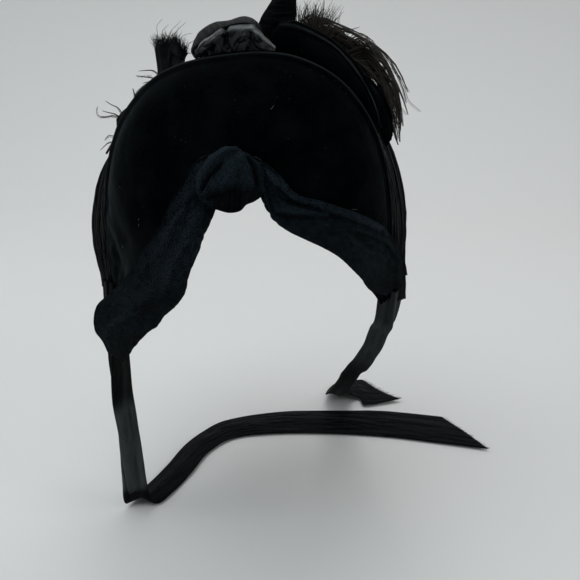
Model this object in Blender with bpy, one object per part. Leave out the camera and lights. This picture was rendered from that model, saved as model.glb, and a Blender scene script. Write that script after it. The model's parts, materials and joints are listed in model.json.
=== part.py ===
# Mourning bonnet: a velvet front with a rolled wired edge, a pleated silk crown, a knotted crepe
# band along the face edge, ribbon and velvet loops with feathers on top, and two ribbon ties.
# Metres, +Z up, the front faces -Y. The origin is inside the crown, where a head's top meets it.

import math
from collections import namedtuple

import bmesh
import bpy
from mathutils import Vector

# Driving sizes
HALF_WIDTH = 0.097        # middle to side, inside the pleated crown at its widest
CROWN_RISE = 0.145        # from the level of the ear corners up to the head's top
EAR_FORWARD = 0.012       # the ear corners lie this far in front of the head's top
FACE_ANGLE = 47.0         # fan angle of the face edge, in degrees about the line through the ears
FACE_DIP_RIGHT = 3.0      # the face edge dips by this angle towards the ears
FACE_DIP_LEFT = 16.0
EDGE_ANGLE = 73.0         # fan angle of the brim's rolled edge
NAPE_ANGLE = 155.0        # fan angle of the nape edge
EAR_SIDE = 0.965          # the crown ends at this share of a quarter turn from the top
BRIM_SIDE = 0.940         # the brim ends a little higher
EAR_WIDTH = 0.93          # share of HALF_WIDTH towards which the arches draw together at the ears
EAR_PULL = 0.6            # how far they do
FORM_LEAN = 0.060         # the top is fuller on the right and flatter on the left by this share
CROWN_SWAY = 0.0040       # the crown's sides stand this far to the left

BRIM_WALL = 0.0025
ROLL_HEIGHT = 0.0022      # the rolled edge stands this far out of the velvet
BRIM_GATHER = 0.0012      # gathers at the brim's lower corners
CROWN_WALL = 0.0020
PLEAT_DEPTH = 0.0045
PLEATS = 8
CREPE_WALL = 0.0018
CREPE_FOLD = 0.0026       # height of the folds that run along the crepe band
KNOT_HEIGHT = 0.0090
RIBBON_WALL = 0.0010
VELVET_WALL = 0.0016
TRIM_HEIGHT = 0.040       # the tallest loop above the crown
PLUME_LENGTH = 0.046      # a lock of the plume
WISP_LENGTH = 0.020       # a lock of the small feathers on the left
TIE_WALL = 0.0010
TIE_WIDTH = 0.040
LEVEL_DROP = 0.300        # the ties' ends lie on a level this far below the head's top

SEAM_GAP = 0.0004         # between pieces that touch
LAYER_GAP = 0.0008        # between curved layers, with room for their facets

EAR_MIDDLE = Vector((0.0, -EAR_FORWARD, -CROWN_RISE))

# The form that every layer follows: arches from ear to ear, fanned about the line through the
# ear corners. Widths are shares of HALF_WIDTH and rises are shares of CROWN_RISE.
Arch = namedtuple("Arch", "angle width rise fullness")
FORM = (
    Arch(20.0, 0.700, 0.640, 2.4),
    Arch(34.0, 0.735, 0.730, 2.4),
    Arch(47.0, 0.770, 0.807, 2.4),
    Arch(53.0, 0.800, 0.905, 2.5),
    Arch(60.0, 0.835, 1.003, 2.6),
    Arch(67.0, 0.862, 1.078, 2.7),
    Arch(73.0, 0.880, 1.107, 2.7),
    Arch(79.0, 0.905, 1.075, 2.6),
    Arch(86.0, 0.965, 1.030, 2.5),
    Arch(95.0, 1.005, 1.004, 2.5),
    Arch(107.0, 1.015, 1.024, 2.4),
    Arch(121.0, 0.965, 1.020, 2.3),
    Arch(136.0, 0.880, 0.972, 2.3),
    Arch(148.0, 0.800, 0.903, 2.3),
    Arch(156.0, 0.750, 0.850, 2.3),
)


def read(rows, key):
    # Reads a table smoothly between its rows, which are sorted by their first column.
    last = len(rows) - 1
    i = 0
    while i < last - 1 and key > rows[i + 1][0]:
        i += 1
    low, high = rows[i], rows[i + 1]
    before = rows[max(i - 1, 0)]
    after = rows[min(i + 2, last)]
    span = high[0] - low[0]
    t = min(max((key - low[0]) / span, 0.0), 1.0)
    values = []
    for column in range(len(low)):
        start = (high[column] - before[column]) / (high[0] - before[0]) * span
        end = (after[column] - low[column]) / (after[0] - low[0]) * span
        values.append((2 * t ** 3 - 3 * t * t + 1) * low[column] + (t ** 3 - 2 * t * t + t) * start
                      + (3 * t * t - 2 * t ** 3) * high[column] + (t ** 3 - t * t) * end)
    return type(low)(*values)


def ramp(value, start, end):
    # Rises smoothly from 0 at start to 1 at end.
    t = min(max((value - start) / (end - start), 0.0), 1.0)
    return t * t * (3 - 2 * t)


def form_point(angle, side, lift=0.0):
    # A point at a fan angle, a share of a quarter turn to the right of the top, and a height
    # above the form.
    arch = read(FORM, angle)
    width = arch.width + EAR_PULL * ramp(abs(side), 0.6, 1.0) * (EAR_WIDTH - arch.width)
    bearing = math.radians(90.0 * side)
    across = abs(math.sin(bearing)) / (width * HALF_WIDTH + lift)
    up = math.cos(bearing) / (arch.rise * CROWN_RISE + lift)
    reach = (across ** arch.fullness + up ** arch.fullness) ** (-1.0 / arch.fullness)
    reach *= 1.0 + FORM_LEAN * math.sin(math.pi * side) * (1.0 - side * side) ** 3
    sway = CROWN_SWAY * ramp(angle, 76.0, 92.0) * ramp(abs(side), 0.25, 0.55)
    sway *= 1.0 - ramp(abs(side), 0.75, 1.0)
    fan = math.radians(angle)
    out = reach * math.cos(bearing)
    return Vector((reach * math.sin(bearing) - sway,
                   -EAR_FORWARD - out * math.cos(fan),
                   -CROWN_RISE + out * math.sin(fan)))


def pleat_share(side):
    # The pleats are shallow under the trimmings and deepen towards the ears.
    return 0.25 + 0.75 * ramp(abs(side), 0.34, 0.58)


def seat(side):
    # The lowest lift that clears the pleated crown.
    return CROWN_WALL + PLEAT_DEPTH * pleat_share(side) + SEAM_GAP


def gather_share(side):
    return ramp(abs(side), 0.50, 0.70)


def roll_share(side):
    # The roll thins out where the brim narrows to the ear corners.
    return 1.0 - 0.75 * ramp(abs(side), 0.60, 0.90)


def layer_lift(angle, side):
    # The lift that clears whatever lies on the form at this place.
    brim = BRIM_WALL + BRIM_GATHER * gather_share(side)
    brim += ROLL_HEIGHT * ramp(angle, EDGE_ANGLE - 10.0, EDGE_ANGLE - 3.0)
    crown = CROWN_WALL + PLEAT_DEPTH * pleat_share(side)
    return brim + max(crown - brim, 0.0) * ramp(angle, EDGE_ANGLE - 8.0, EDGE_ANGLE) + LAYER_GAP


def settle(point):
    # Moves a point straight out from the middle between the ears until it clears the layers below.
    forward = -(point.y + EAR_FORWARD)
    up = point.z + CROWN_RISE
    if up <= 0.0:
        return point
    out = math.hypot(forward, up)
    angle = math.degrees(math.atan2(up, forward))
    side = math.degrees(math.atan2(point.x, out)) / 90.0
    floor = form_point(angle, side, layer_lift(angle, side))
    if (point - EAR_MIDDLE).length >= (floor - EAR_MIDDLE).length:
        return point
    return floor


# Materials: colour and roughness

MATERIALS = {
    "velvet": ((0.004, 0.004, 0.005), 0.95),
    "silk": ((0.007, 0.007, 0.008), 0.70),
    "crepe": ((0.008, 0.008, 0.011), 0.92),
    "satin": ((0.030, 0.031, 0.034), 0.35),
    "ribbon": ((0.011, 0.012, 0.013), 0.75),
    "feather": ((0.012, 0.009, 0.007), 0.80),
}


def material(name):
    made = bpy.data.materials.get(name)
    if made is None:
        colour, roughness = MATERIALS[name]
        made = bpy.data.materials.new(name)
        made.use_nodes = True
        shader = made.node_tree.nodes["Principled BSDF"]
        shader.inputs["Base Color"].default_value = (*colour, 1.0)
        shader.inputs["Roughness"].default_value = roughness
        shader.inputs["Metallic"].default_value = 0.0
    return made


def add_object(name, mesh, cloth):
    for polygon in mesh.polygons:
        polygon.use_smooth = True
    mesh.materials.append(material(cloth))
    made = bpy.data.objects.new(name, mesh)
    bpy.context.scene.collection.objects.link(made)
    return made


def wall_object(name, outer, inner, cloth):
    # A closed wall of cloth between two grids of points with the same rows and columns.
    rows, columns = len(outer), len(outer[0])
    work = bmesh.new()
    top = [[work.verts.new(p) for p in row] for row in outer]
    bottom = [[work.verts.new(p) for p in row] for row in inner]
    for i in range(rows - 1):
        for j in range(columns - 1):
            work.faces.new((top[i][j], top[i][j + 1], top[i + 1][j + 1], top[i + 1][j]))
            work.faces.new((bottom[i][j], bottom[i + 1][j], bottom[i + 1][j + 1], bottom[i][j + 1]))
    for i in range(rows - 1):
        work.faces.new((top[i][0], top[i + 1][0], bottom[i + 1][0], bottom[i][0]))
        work.faces.new((top[i][-1], bottom[i][-1], bottom[i + 1][-1], top[i + 1][-1]))
    for j in range(columns - 1):
        work.faces.new((top[0][j], bottom[0][j], bottom[0][j + 1], top[0][j + 1]))
        work.faces.new((top[-1][j], top[-1][j + 1], bottom[-1][j + 1], bottom[-1][j]))
    bmesh.ops.recalc_face_normals(work, faces=work.faces)
    mesh = bpy.data.meshes.new(name)
    work.to_mesh(mesh)
    work.free()
    return add_object(name, mesh, cloth)


def sheet_object(name, middle, wall, cloth):
    # A wall of even thickness about a grid of points.
    rows, columns = len(middle), len(middle[0])
    outer, inner = [], []
    for i in range(rows):
        outer_row, inner_row = [], []
        for j in range(columns):
            along = middle[min(i + 1, rows - 1)][j] - middle[max(i - 1, 0)][j]
            across = middle[i][min(j + 1, columns - 1)] - middle[i][max(j - 1, 0)]
            normal = along.cross(across).normalized()
            outer_row.append(middle[i][j] + normal * wall / 2)
            inner_row.append(middle[i][j] - normal * wall / 2)
        outer.append(outer_row)
        inner.append(inner_row)
    return wall_object(name, outer, inner, cloth)


def steps(start, end, count):
    return [start + (end - start) * i / (count - 1) for i in range(count)]


# Crown: pleats run from ear to ear over the head, with a seam against the brim's edge

CROWN_COLUMNS = 23
PLEAT_ROWS = 4
PLEAT_LEAN = 0.8          # below 1, the pleats' crests lean towards the front
PLEAT_FADE = 0.55         # the share of their depth that they lose from the fade's start to the nape
PLEAT_FADE_START = 100.0


def build_crown():
    seam_fan = math.radians(EDGE_ANGLE)
    seam_shift = Vector((0.0, math.sin(seam_fan), math.cos(seam_fan))) * SEAM_GAP
    rows = PLEATS * PLEAT_ROWS + 1
    outer, inner = [], []
    for i, angle in enumerate(steps(EDGE_ANGLE, NAPE_ANGLE, rows)):
        phase = (i % PLEAT_ROWS) / PLEAT_ROWS
        fade = 1.0 - PLEAT_FADE * ramp(angle, PLEAT_FADE_START, NAPE_ANGLE)
        fold = (0.5 - 0.5 * math.cos(2 * math.pi * phase ** PLEAT_LEAN)) * fade
        outer_row, inner_row = [], []
        for side in steps(-EAR_SIDE, EAR_SIDE, CROWN_COLUMNS):
            rise = PLEAT_DEPTH * pleat_share(side) * fold
            outer_row.append(form_point(angle, side, CROWN_WALL + rise) + seam_shift)
            inner_row.append(form_point(angle, side, rise) + seam_shift)
        outer.append(outer_row)
        inner.append(inner_row)
    return wall_object("crown", outer, inner, "silk")


# Brim: the domed velvet front, rolled over a wire at its upper edge

BRIM_COLUMNS = 29
# Share of the way from the face edge to the rolled edge, and how far the roll has risen there.
BrimRow = namedtuple("BrimRow", "at roll")
BRIM_ROWS = (
    BrimRow(0.00, 0.0),
    BrimRow(0.14, 0.0),
    BrimRow(0.28, 0.0),
    BrimRow(0.42, 0.0),
    BrimRow(0.56, 0.0),
    BrimRow(0.70, 0.0),
    BrimRow(0.83, 0.0),
    BrimRow(0.925, 0.1),
    BrimRow(0.95, 0.8),
    BrimRow(0.975, 1.0),
    BrimRow(1.00, 0.6),
)
GATHER_TURNS = 3.5


def build_brim():
    outer, inner = [], []
    for row in BRIM_ROWS:
        wave = 0.5 + 0.5 * math.sin(2 * math.pi * GATHER_TURNS * row.at)
        outer_row, inner_row = [], []
        for side in steps(-BRIM_SIDE, BRIM_SIDE, BRIM_COLUMNS):
            dip = FACE_DIP_RIGHT if side > 0 else FACE_DIP_LEFT
            face = FACE_ANGLE - dip * ramp(abs(side), 0.08, 0.42)
            angle = face + (EDGE_ANGLE - face) * row.at
            lift = BRIM_WALL + BRIM_GATHER * gather_share(side) * wave * (1.0 - row.roll)
            lift += ROLL_HEIGHT * roll_share(side) * row.roll
            outer_row.append(form_point(angle, side, lift))
            inner_row.append(form_point(angle, side))
        outer.append(outer_row)
        inner.append(inner_row)
    return wall_object("brim", outer, inner, "velvet")


# Crepe band: each row joins a point on its upper edge to one on its lower edge. Sideways places
# are shares of HALF_WIDTH, depths and heights are shares of CROWN_RISE from the head's top.

Band = namedtuple("Band", "at upper_x upper_y upper_z lower_x lower_y lower_z fold")
BAND_RIGHT = (
    Band(0.00, 0.095, -0.600, -0.270, 0.100, -0.620, -0.400, 0.2),
    Band(0.08, 0.180, -0.600, -0.300, 0.175, -0.620, -0.390, 0.3),
    Band(0.17, 0.280, -0.610, -0.330, 0.255, -0.650, -0.440, 0.8),
    Band(0.26, 0.380, -0.620, -0.365, 0.340, -0.660, -0.480, 0.8),
    Band(0.36, 0.490, -0.590, -0.408, 0.420, -0.645, -0.512, 1.0),
    Band(0.46, 0.600, -0.540, -0.448, 0.510, -0.605, -0.555, 0.9),
    Band(0.57, 0.710, -0.450, -0.495, 0.610, -0.540, -0.620, 1.0),
    Band(0.68, 0.820, -0.330, -0.570, 0.680, -0.470, -0.690, 0.8),
    Band(0.79, 0.910, -0.220, -0.650, 0.730, -0.385, -0.760, 1.0),
    Band(0.90, 0.985, -0.130, -0.750, 0.790, -0.290, -0.845, 0.7),
    Band(1.00, 1.020, -0.075, -0.850, 0.880, -0.160, -0.915, 0.4),
)
BAND_LEFT = (
    Band(0.00, 0.030, -0.600, -0.270, 0.050, -0.620, -0.400, 0.2),
    Band(0.07, -0.120, -0.600, -0.300, -0.020, -0.630, -0.420, 0.2),
    Band(0.14, -0.235, -0.645, -0.370, -0.070, -0.695, -0.480, 0.5),
    Band(0.24, -0.325, -0.650, -0.480, -0.105, -0.708, -0.550, 0.8),
    Band(0.34, -0.430, -0.630, -0.580, -0.160, -0.727, -0.630, 0.6),
    Band(0.45, -0.520, -0.598, -0.665, -0.200, -0.712, -0.715, 0.7),
    Band(0.56, -0.615, -0.560, -0.738, -0.270, -0.692, -0.775, 0.8),
    Band(0.66, -0.725, -0.512, -0.812, -0.340, -0.657, -0.826, 0.6),
    Band(0.75, -0.825, -0.463, -0.876, -0.395, -0.636, -0.880, 0.5),
    Band(0.83, -0.880, -0.428, -0.945, -0.478, -0.605, -0.930, 0.6),
    Band(0.90, -0.892, -0.414, -1.014, -0.575, -0.560, -1.008, 0.5),
    Band(0.96, -0.845, -0.420, -1.066, -0.636, -0.530, -1.064, 0.4),
    Band(1.00, -0.815, -0.434, -1.104, -0.700, -0.500, -1.112, 0.2),
)
KNOT_COVER = 0.65         # the share of the fold's height that the bands reach under the knot
BAND_STEPS = 23
BAND_COLUMNS = 8
# Folds across the band: their place between its upper and lower edge, their width and height.
Fold = namedtuple("Fold", "at width height")
BAND_FOLDS = (
    Fold(0.12, 0.10, 0.55),
    Fold(0.45, 0.14, 1.00),
    Fold(0.86, 0.12, 0.80),
)


def fold_height(across):
    height = 0.0
    for fold in BAND_FOLDS:
        height = max(height, fold.height * math.exp(-((across - fold.at) / fold.width) ** 2))
    return height


def build_band(name, table):
    outer, inner = [], []
    for at in steps(0.0, 1.0, BAND_STEPS):
        row = read(table, at)
        upper = Vector((row.upper_x * HALF_WIDTH, row.upper_y * CROWN_RISE, row.upper_z * CROWN_RISE))
        lower = Vector((row.lower_x * HALF_WIDTH, row.lower_y * CROWN_RISE, row.lower_z * CROWN_RISE))
        outer_row, inner_row = [], []
        for across in steps(0.0, 1.0, BAND_COLUMNS):
            place = settle(upper.lerp(lower, across))
            forward = (place - EAR_MIDDLE).normalized()
            rise = CREPE_FOLD * row.fold * fold_height(across)
            outer_row.append(place + forward * (CREPE_WALL + rise))
            inner_row.append(place)
        outer.append(outer_row)
        inner.append(inner_row)
    return wall_object(name, outer, inner, "crepe")


# Knot: a puffed cushion of gathers over the two bands' ends

KNOT_ANGLE = 49.6         # fan angle and side of its middle
KNOT_SIDE = 0.026
KNOT_ROUND = 28
KNOT_RINGS = 6
# Reach of its edge, upwards and sideways as shares of the named half sizes, by bearing in degrees.
KNOT_HALF_SIDE = 0.086
KNOT_HALF_ANGLE = 5.6
KnotEdge = namedtuple("KnotEdge", "bearing reach")
KNOT_EDGE = (
    KnotEdge(0.0, 0.90),
    KnotEdge(40.0, 0.80),
    KnotEdge(75.0, 0.84),
    KnotEdge(105.0, 0.90),
    KnotEdge(145.0, 0.88),
    KnotEdge(180.0, 1.00),
    KnotEdge(208.0, 1.02),
    KnotEdge(235.0, 0.90),
    KnotEdge(262.0, 0.98),
    KnotEdge(290.0, 0.98),
    KnotEdge(318.0, 0.94),
    KnotEdge(360.0, 0.90),
)
KNOT_GATHERS = 5
GATHER_SHARE = 0.13       # height of the gathers as a share of the knot's
KNOT_CREASE = -0.45       # lean of the crease beside the rolled lobe, in radians
CREASE_SHARE = 0.55       # depth of that crease as a share of the knot's height
KNOT_RIM = 0.14           # height at the rim as a share of the knot's


def build_knot():
    base_lift = BRIM_WALL + LAYER_GAP + CREPE_WALL + CREPE_FOLD * KNOT_COVER + LAYER_GAP
    work = bmesh.new()

    def place(ring, turn, lift):
        reach = read(KNOT_EDGE, math.degrees(turn)).reach * ring
        angle = KNOT_ANGLE + KNOT_HALF_ANGLE * reach * math.sin(turn)
        side = KNOT_SIDE + KNOT_HALF_SIDE * reach * math.cos(turn)
        return work.verts.new(form_point(angle, side, lift))

    def puff(ring, turn):
        # Gathers run up from the lower edge, and a crease parts the rolled lobe at the upper left.
        across, up = ring * math.cos(turn), ring * math.sin(turn)
        dome = math.sqrt(max(1.0 - ring ** 2.6, 0.0))
        gather = GATHER_SHARE * math.cos(math.pi * KNOT_GATHERS * across) * ramp(-up, -0.35, 0.45)
        lobe_line = (across + 0.28) * math.cos(KNOT_CREASE) + up * math.sin(KNOT_CREASE)
        crease = CREASE_SHARE * math.exp(-(lobe_line / 0.14) ** 2) * ramp(up, -0.55, 0.1)
        return KNOT_HEIGHT * max(dome * (1.0 - crease) + gather * (1.0 - 0.6 * ring), KNOT_RIM)

    turns = [2 * math.pi * i / KNOT_ROUND for i in range(KNOT_ROUND)]
    front, back = [], []
    for ring in steps(1.0, 1.0 / KNOT_RINGS, KNOT_RINGS):
        front.append([place(ring, turn, base_lift + puff(ring, turn)) for turn in turns])
    for ring in steps(1.0, 1.0 / KNOT_RINGS, KNOT_RINGS):
        back.append([place(ring, turn, base_lift) for turn in turns])
    front_tip = place(0.0, 0.0, base_lift + puff(0.0, 0.0))
    back_tip = place(0.0, 0.0, base_lift)
    for i in range(KNOT_ROUND):
        j = (i + 1) % KNOT_ROUND
        for rings, tip in ((front, front_tip), (back, back_tip)):
            for k in range(KNOT_RINGS - 1):
                work.faces.new((rings[k][i], rings[k][j], rings[k + 1][j], rings[k + 1][i]))
            work.faces.new((rings[-1][i], rings[-1][j], tip))
        work.faces.new((front[0][i], front[0][j], back[0][j], back[0][i]))
    bmesh.ops.recalc_face_normals(work, faces=work.faces)
    mesh = bpy.data.meshes.new("crepe_knot")
    work.to_mesh(mesh)
    work.free()
    return add_object("crepe_knot", mesh, "crepe")


# Trimmings on top: strips join two edges, hoods are arched over the crown. Angles are fan angles,
# sides are shares of a quarter turn, lifts and heights are shares of TRIM_HEIGHT above the crown.

Strip = namedtuple("Strip", "at angle_a side_a lift_a angle_b side_b lift_b puff")
BOW_LOOP = (
    Strip(0.00, 75.6, -0.078, 0.020, 86.0, -0.098, 0.020, 0.00),
    Strip(0.10, 75.6, -0.086, 0.120, 86.0, -0.104, 0.120, 0.05),
    Strip(0.22, 75.6, -0.068, 0.240, 86.0, -0.086, 0.260, 0.09),
    Strip(0.35, 75.6, -0.040, 0.330, 86.0, -0.056, 0.360, 0.10),
    Strip(0.50, 75.8, -0.006, 0.380, 86.0, -0.014, 0.400, 0.10),
    Strip(0.63, 76.0, 0.022, 0.380, 86.0, 0.020, 0.430, 0.10),
    Strip(0.75, 76.0, 0.044, 0.330, 86.0, 0.042, 0.340, 0.08),
    Strip(0.88, 75.8, 0.062, 0.200, 86.0, 0.058, 0.180, 0.05),
    Strip(1.00, 75.6, 0.070, 0.020, 86.0, 0.066, 0.020, 0.00),
)
RIBBON_END = (
    Strip(0.00, 76.6, -0.110, -0.015, 79.0, -0.106, 0.110, 0.00),
    Strip(0.30, 75.8, -0.124, -0.015, 78.2, -0.116, 0.260, 0.06),
    Strip(0.60, 77.0, -0.144, -0.015, 78.8, -0.134, 0.320, -0.05),
    Strip(0.85, 75.6, -0.160, -0.015, 77.6, -0.150, 0.350, 0.04),
    Strip(1.00, 76.0, -0.172, -0.015, 77.8, -0.164, 0.330, 0.00),
)
RIBBON_TIP = (
    Strip(0.00, 78.0, -0.282, 0.030, 83.5, -0.280, 0.030, 0.04),
    Strip(0.50, 78.2, -0.320, 0.080, 83.0, -0.314, 0.120, 0.04),
    Strip(1.00, 79.0, -0.356, 0.060, 81.5, -0.348, 0.150, 0.00),
)
TALL_LOOP = (
    Strip(0.00, 87.6, 0.048, 0.020, 87.6, 0.092, 0.020, 0.00),
    Strip(0.14, 87.4, 0.036, 0.250, 87.4, 0.103, 0.250, -0.08),
    Strip(0.26, 87.0, 0.038, 0.480, 87.0, 0.108, 0.480, -0.10),
    Strip(0.38, 86.8, 0.052, 0.680, 86.8, 0.104, 0.740, -0.08),
    Strip(0.47, 87.4, 0.066, 0.860, 87.4, 0.096, 0.930, -0.04),
    Strip(0.53, 88.8, 0.066, 0.860, 88.8, 0.096, 0.930, 0.04),
    Strip(0.64, 90.4, 0.054, 0.660, 90.4, 0.102, 0.700, 0.08),
    Strip(0.80, 91.0, 0.042, 0.350, 91.0, 0.104, 0.350, 0.08),
    Strip(1.00, 90.6, 0.048, 0.020, 90.6, 0.092, 0.020, 0.00),
)


def build_strip(name, table, count, columns, wall, cloth):
    middle = []
    for at in steps(0.0, 1.0, count):
        row = read(table, at)
        base_a = seat(row.side_a) + wall / 2
        base_b = seat(row.side_b) + wall / 2
        edge_a = form_point(row.angle_a, row.side_a, base_a + row.lift_a * TRIM_HEIGHT)
        edge_b = form_point(row.angle_b, row.side_b, base_b + row.lift_b * TRIM_HEIGHT)
        middle.append([edge_a.lerp(edge_b, across) for across in steps(0.0, 1.0, columns)])
    puffed = []
    for i, at in enumerate(steps(0.0, 1.0, count)):
        along = middle[min(i + 1, count - 1)][0] - middle[max(i - 1, 0)][0]
        normal = along.cross(middle[i][-1] - middle[i][0]).normalized()
        puff = read(table, at).puff * TRIM_HEIGHT
        puffed.append([point + normal * puff * math.sin(math.pi * j / (columns - 1))
                       for j, point in enumerate(middle[i])])
    return sheet_object(name, puffed, wall, cloth)


Hood = namedtuple("Hood", "side front back height lean")
BOW_LINING = (
    Hood(-0.070, 74.6, 81.0, 0.12, 0.0),
    Hood(-0.052, 74.6, 81.5, 0.22, -0.2),
    Hood(-0.026, 74.6, 82.0, 0.30, 0.1),
    Hood(0.000, 74.6, 82.0, 0.33, -0.2),
    Hood(0.024, 74.6, 82.0, 0.32, 0.1),
    Hood(0.044, 74.6, 81.5, 0.22, -0.1),
    Hood(0.056, 74.6, 81.0, 0.12, 0.0),
)
VELVET_FOLD = (
    Hood(0.078, 75.0, 81.0, 0.24, 0.0),
    Hood(0.092, 75.0, 83.5, 0.36, 0.2),
    Hood(0.130, 75.0, 84.8, 0.35, 0.3),
    Hood(0.175, 75.0, 84.8, 0.31, 0.3),
    Hood(0.220, 75.0, 84.8, 0.25, 0.3),
    Hood(0.265, 75.0, 84.4, 0.20, 0.3),
    Hood(0.315, 75.0, 83.0, 0.14, 0.1),
    Hood(0.365, 75.2, 79.6, 0.06, 0.0),
)
VELVET_LOBE = (
    Hood(0.205, 86.0, 91.0, 0.11, 0.0),
    Hood(0.230, 86.0, 95.0, 0.17, 0.1),
    Hood(0.270, 86.0, 96.5, 0.21, 0.1),
    Hood(0.315, 86.0, 96.5, 0.24, 0.0),
    Hood(0.360, 86.0, 95.5, 0.23, 0.0),
    Hood(0.405, 86.2, 93.5, 0.17, 0.0),
    Hood(0.435, 86.6, 91.0, 0.08, 0.0),
)


def build_hood(name, table, count, columns, wall, cloth, ripple=0.0):
    # An arched loop, open underneath; the lean moves its crest backwards.
    outer, inner = [], []
    for i, side in enumerate(steps(table[0].side, table[-1].side, count)):
        row = read(table, side)
        middle_angle = (row.front + row.back) / 2
        half_angle = (row.back - row.front) / 2
        crumple = 1.0 + ripple * math.sin(2.4 * i)
        outer_row, inner_row = [], []
        for turn in steps(0.0, math.pi, columns):
            for grid_row, thickness in ((outer_row, 0.0), (inner_row, wall)):
                height = max(row.height * TRIM_HEIGHT * crumple, 2.0 * wall) - thickness
                slim = math.degrees(thickness / CROWN_RISE)
                swing = -(half_angle - slim) * math.cos(turn)
                swing += row.lean * half_angle * math.sin(turn)
                lift = seat(side) + height * abs(math.sin(turn)) ** 0.8
                grid_row.append(form_point(middle_angle + swing, side, lift))
        outer.append(outer_row)
        inner.append(inner_row)
    return wall_object(name, outer, inner, cloth)


# Feathers: locks that grow out of a spine lying on the crown, fused into one body

Lock = namedtuple("Lock", "root_angle root_side tip_angle tip_side rise length girth")
PLUME = (
    Lock(93.5, 0.095, 90.5, 0.122, 0.74, 0.95, 1.0),
    Lock(94.5, 0.112, 92.5, 0.148, 0.64, 0.95, 1.1),
    Lock(96.0, 0.130, 95.0, 0.185, 0.54, 0.90, 1.2),
    Lock(97.5, 0.160, 98.0, 0.230, 0.50, 0.90, 1.2),
    Lock(98.5, 0.195, 100.5, 0.275, 0.50, 0.90, 1.2),
    Lock(99.0, 0.230, 98.0, 0.315, 0.48, 0.90, 1.2),
    Lock(99.5, 0.265, 102.0, 0.355, 0.48, 0.90, 1.1),
    Lock(99.5, 0.300, 99.0, 0.395, 0.42, 0.85, 1.0),
    Lock(99.5, 0.335, 102.0, 0.430, 0.32, 0.80, 1.0),
    Lock(99.5, 0.360, 99.5, 0.455, 0.18, 0.62, 0.8),
)
PLUME_SPINE = (93.0, 0.060, 99.5, 0.370)
LEFT_FEATHERS = (
    Lock(88.0, -0.200, 84.0, -0.245, 0.50, 0.80, 0.8),
    Lock(88.0, -0.260, 86.0, -0.330, 0.60, 0.90, 0.8),
    Lock(88.0, -0.320, 86.5, -0.410, 0.80, 1.00, 0.8),
    Lock(88.0, -0.390, 86.0, -0.470, 0.35, 0.90, 0.8),
    Lock(88.0, -0.450, 87.0, -0.540, 0.25, 0.95, 0.7),
)
LEFT_SPINE = (88.0, -0.190, 88.0, -0.460)
SPINE_GIRTH = 0.0026
LOCK_GIRTH = 0.0046
LOCK_SIDES = 5
LOCK_RINGS = 5
SPINE_RINGS = 9


def tube(points, girths, name):
    # A closed round bar through the points, with a girth at each.
    work = bmesh.new()
    rings = []
    for i, point in enumerate(points):
        ahead = points[min(i + 1, len(points) - 1)] - points[max(i - 1, 0)]
        first = ahead.cross(Vector((0.0, 1.0, 0.2))).normalized()
        second = ahead.cross(first).normalized()
        ring = []
        for k in range(LOCK_SIDES):
            turn = 2 * math.pi * k / LOCK_SIDES
            away = first * math.cos(turn) + second * math.sin(turn)
            ring.append(work.verts.new(point + away * girths[i]))
        rings.append(ring)
    for i in range(len(rings) - 1):
        for k in range(LOCK_SIDES):
            m = (k + 1) % LOCK_SIDES
            work.faces.new((rings[i][k], rings[i][m], rings[i + 1][m], rings[i + 1][k]))
    work.faces.new(rings[0])
    work.faces.new(rings[-1])
    bmesh.ops.recalc_face_normals(work, faces=work.faces)
    mesh = bpy.data.meshes.new(name)
    work.to_mesh(mesh)
    work.free()
    return mesh


def build_feathers(name, spine, locks, length):
    start_angle, start_side, end_angle, end_side = spine
    points, girths = [], []
    for t in steps(0.0, 1.0, SPINE_RINGS):
        side = start_side + (end_side - start_side) * t
        angle = start_angle + (end_angle - start_angle) * min(1.0, 1.6 * t)
        points.append(form_point(angle, side, seat(side) + SPINE_GIRTH))
        girths.append(SPINE_GIRTH)
    body = add_object(name, tube(points, girths, name), "feather")
    for number, lock in enumerate(locks):
        points, girths = [], []
        for t in steps(0.0, 1.0, LOCK_RINGS):
            side = lock.root_side + (lock.tip_side - lock.root_side) * t
            angle = lock.root_angle + (lock.tip_angle - lock.root_angle) * t * t
            lift = seat(side) + SPINE_GIRTH
            lift += lock.rise * lock.length * length * math.sin(0.5 * math.pi * min(1.15 * t, 1.0))
            points.append(form_point(angle, side, lift))
            girths.append(LOCK_GIRTH * lock.girth * (1.0 - 0.85 * t ** 1.5) * (0.65 + 0.6 * t))
        label = "lock_%02d" % (number + 1)
        cutter = add_object(name + "_" + label, tube(points, girths, name + "_lock"), "feather")
        cutter.hide_render = True
        cutter.display_type = 'WIRE'
        union = body.modifiers.new(label, 'BOOLEAN')
        union.operation = 'UNION'
        union.solver = 'EXACT'
        union.object = cutter
    return body


# Ties: creased ribbons that hang from the ear corners and run on along the level below.
# Sideways places are shares of HALF_WIDTH and depths are shares of CROWN_RISE. Drops are shares
# of the way from the ear corners' level down to the level on which the ends lie. The width is a
# share of TIE_WIDTH and the crease is its depth as a share of it too. The facing is the bearing
# of the ribbon's breadth, in degrees from +X towards +Y.

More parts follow.
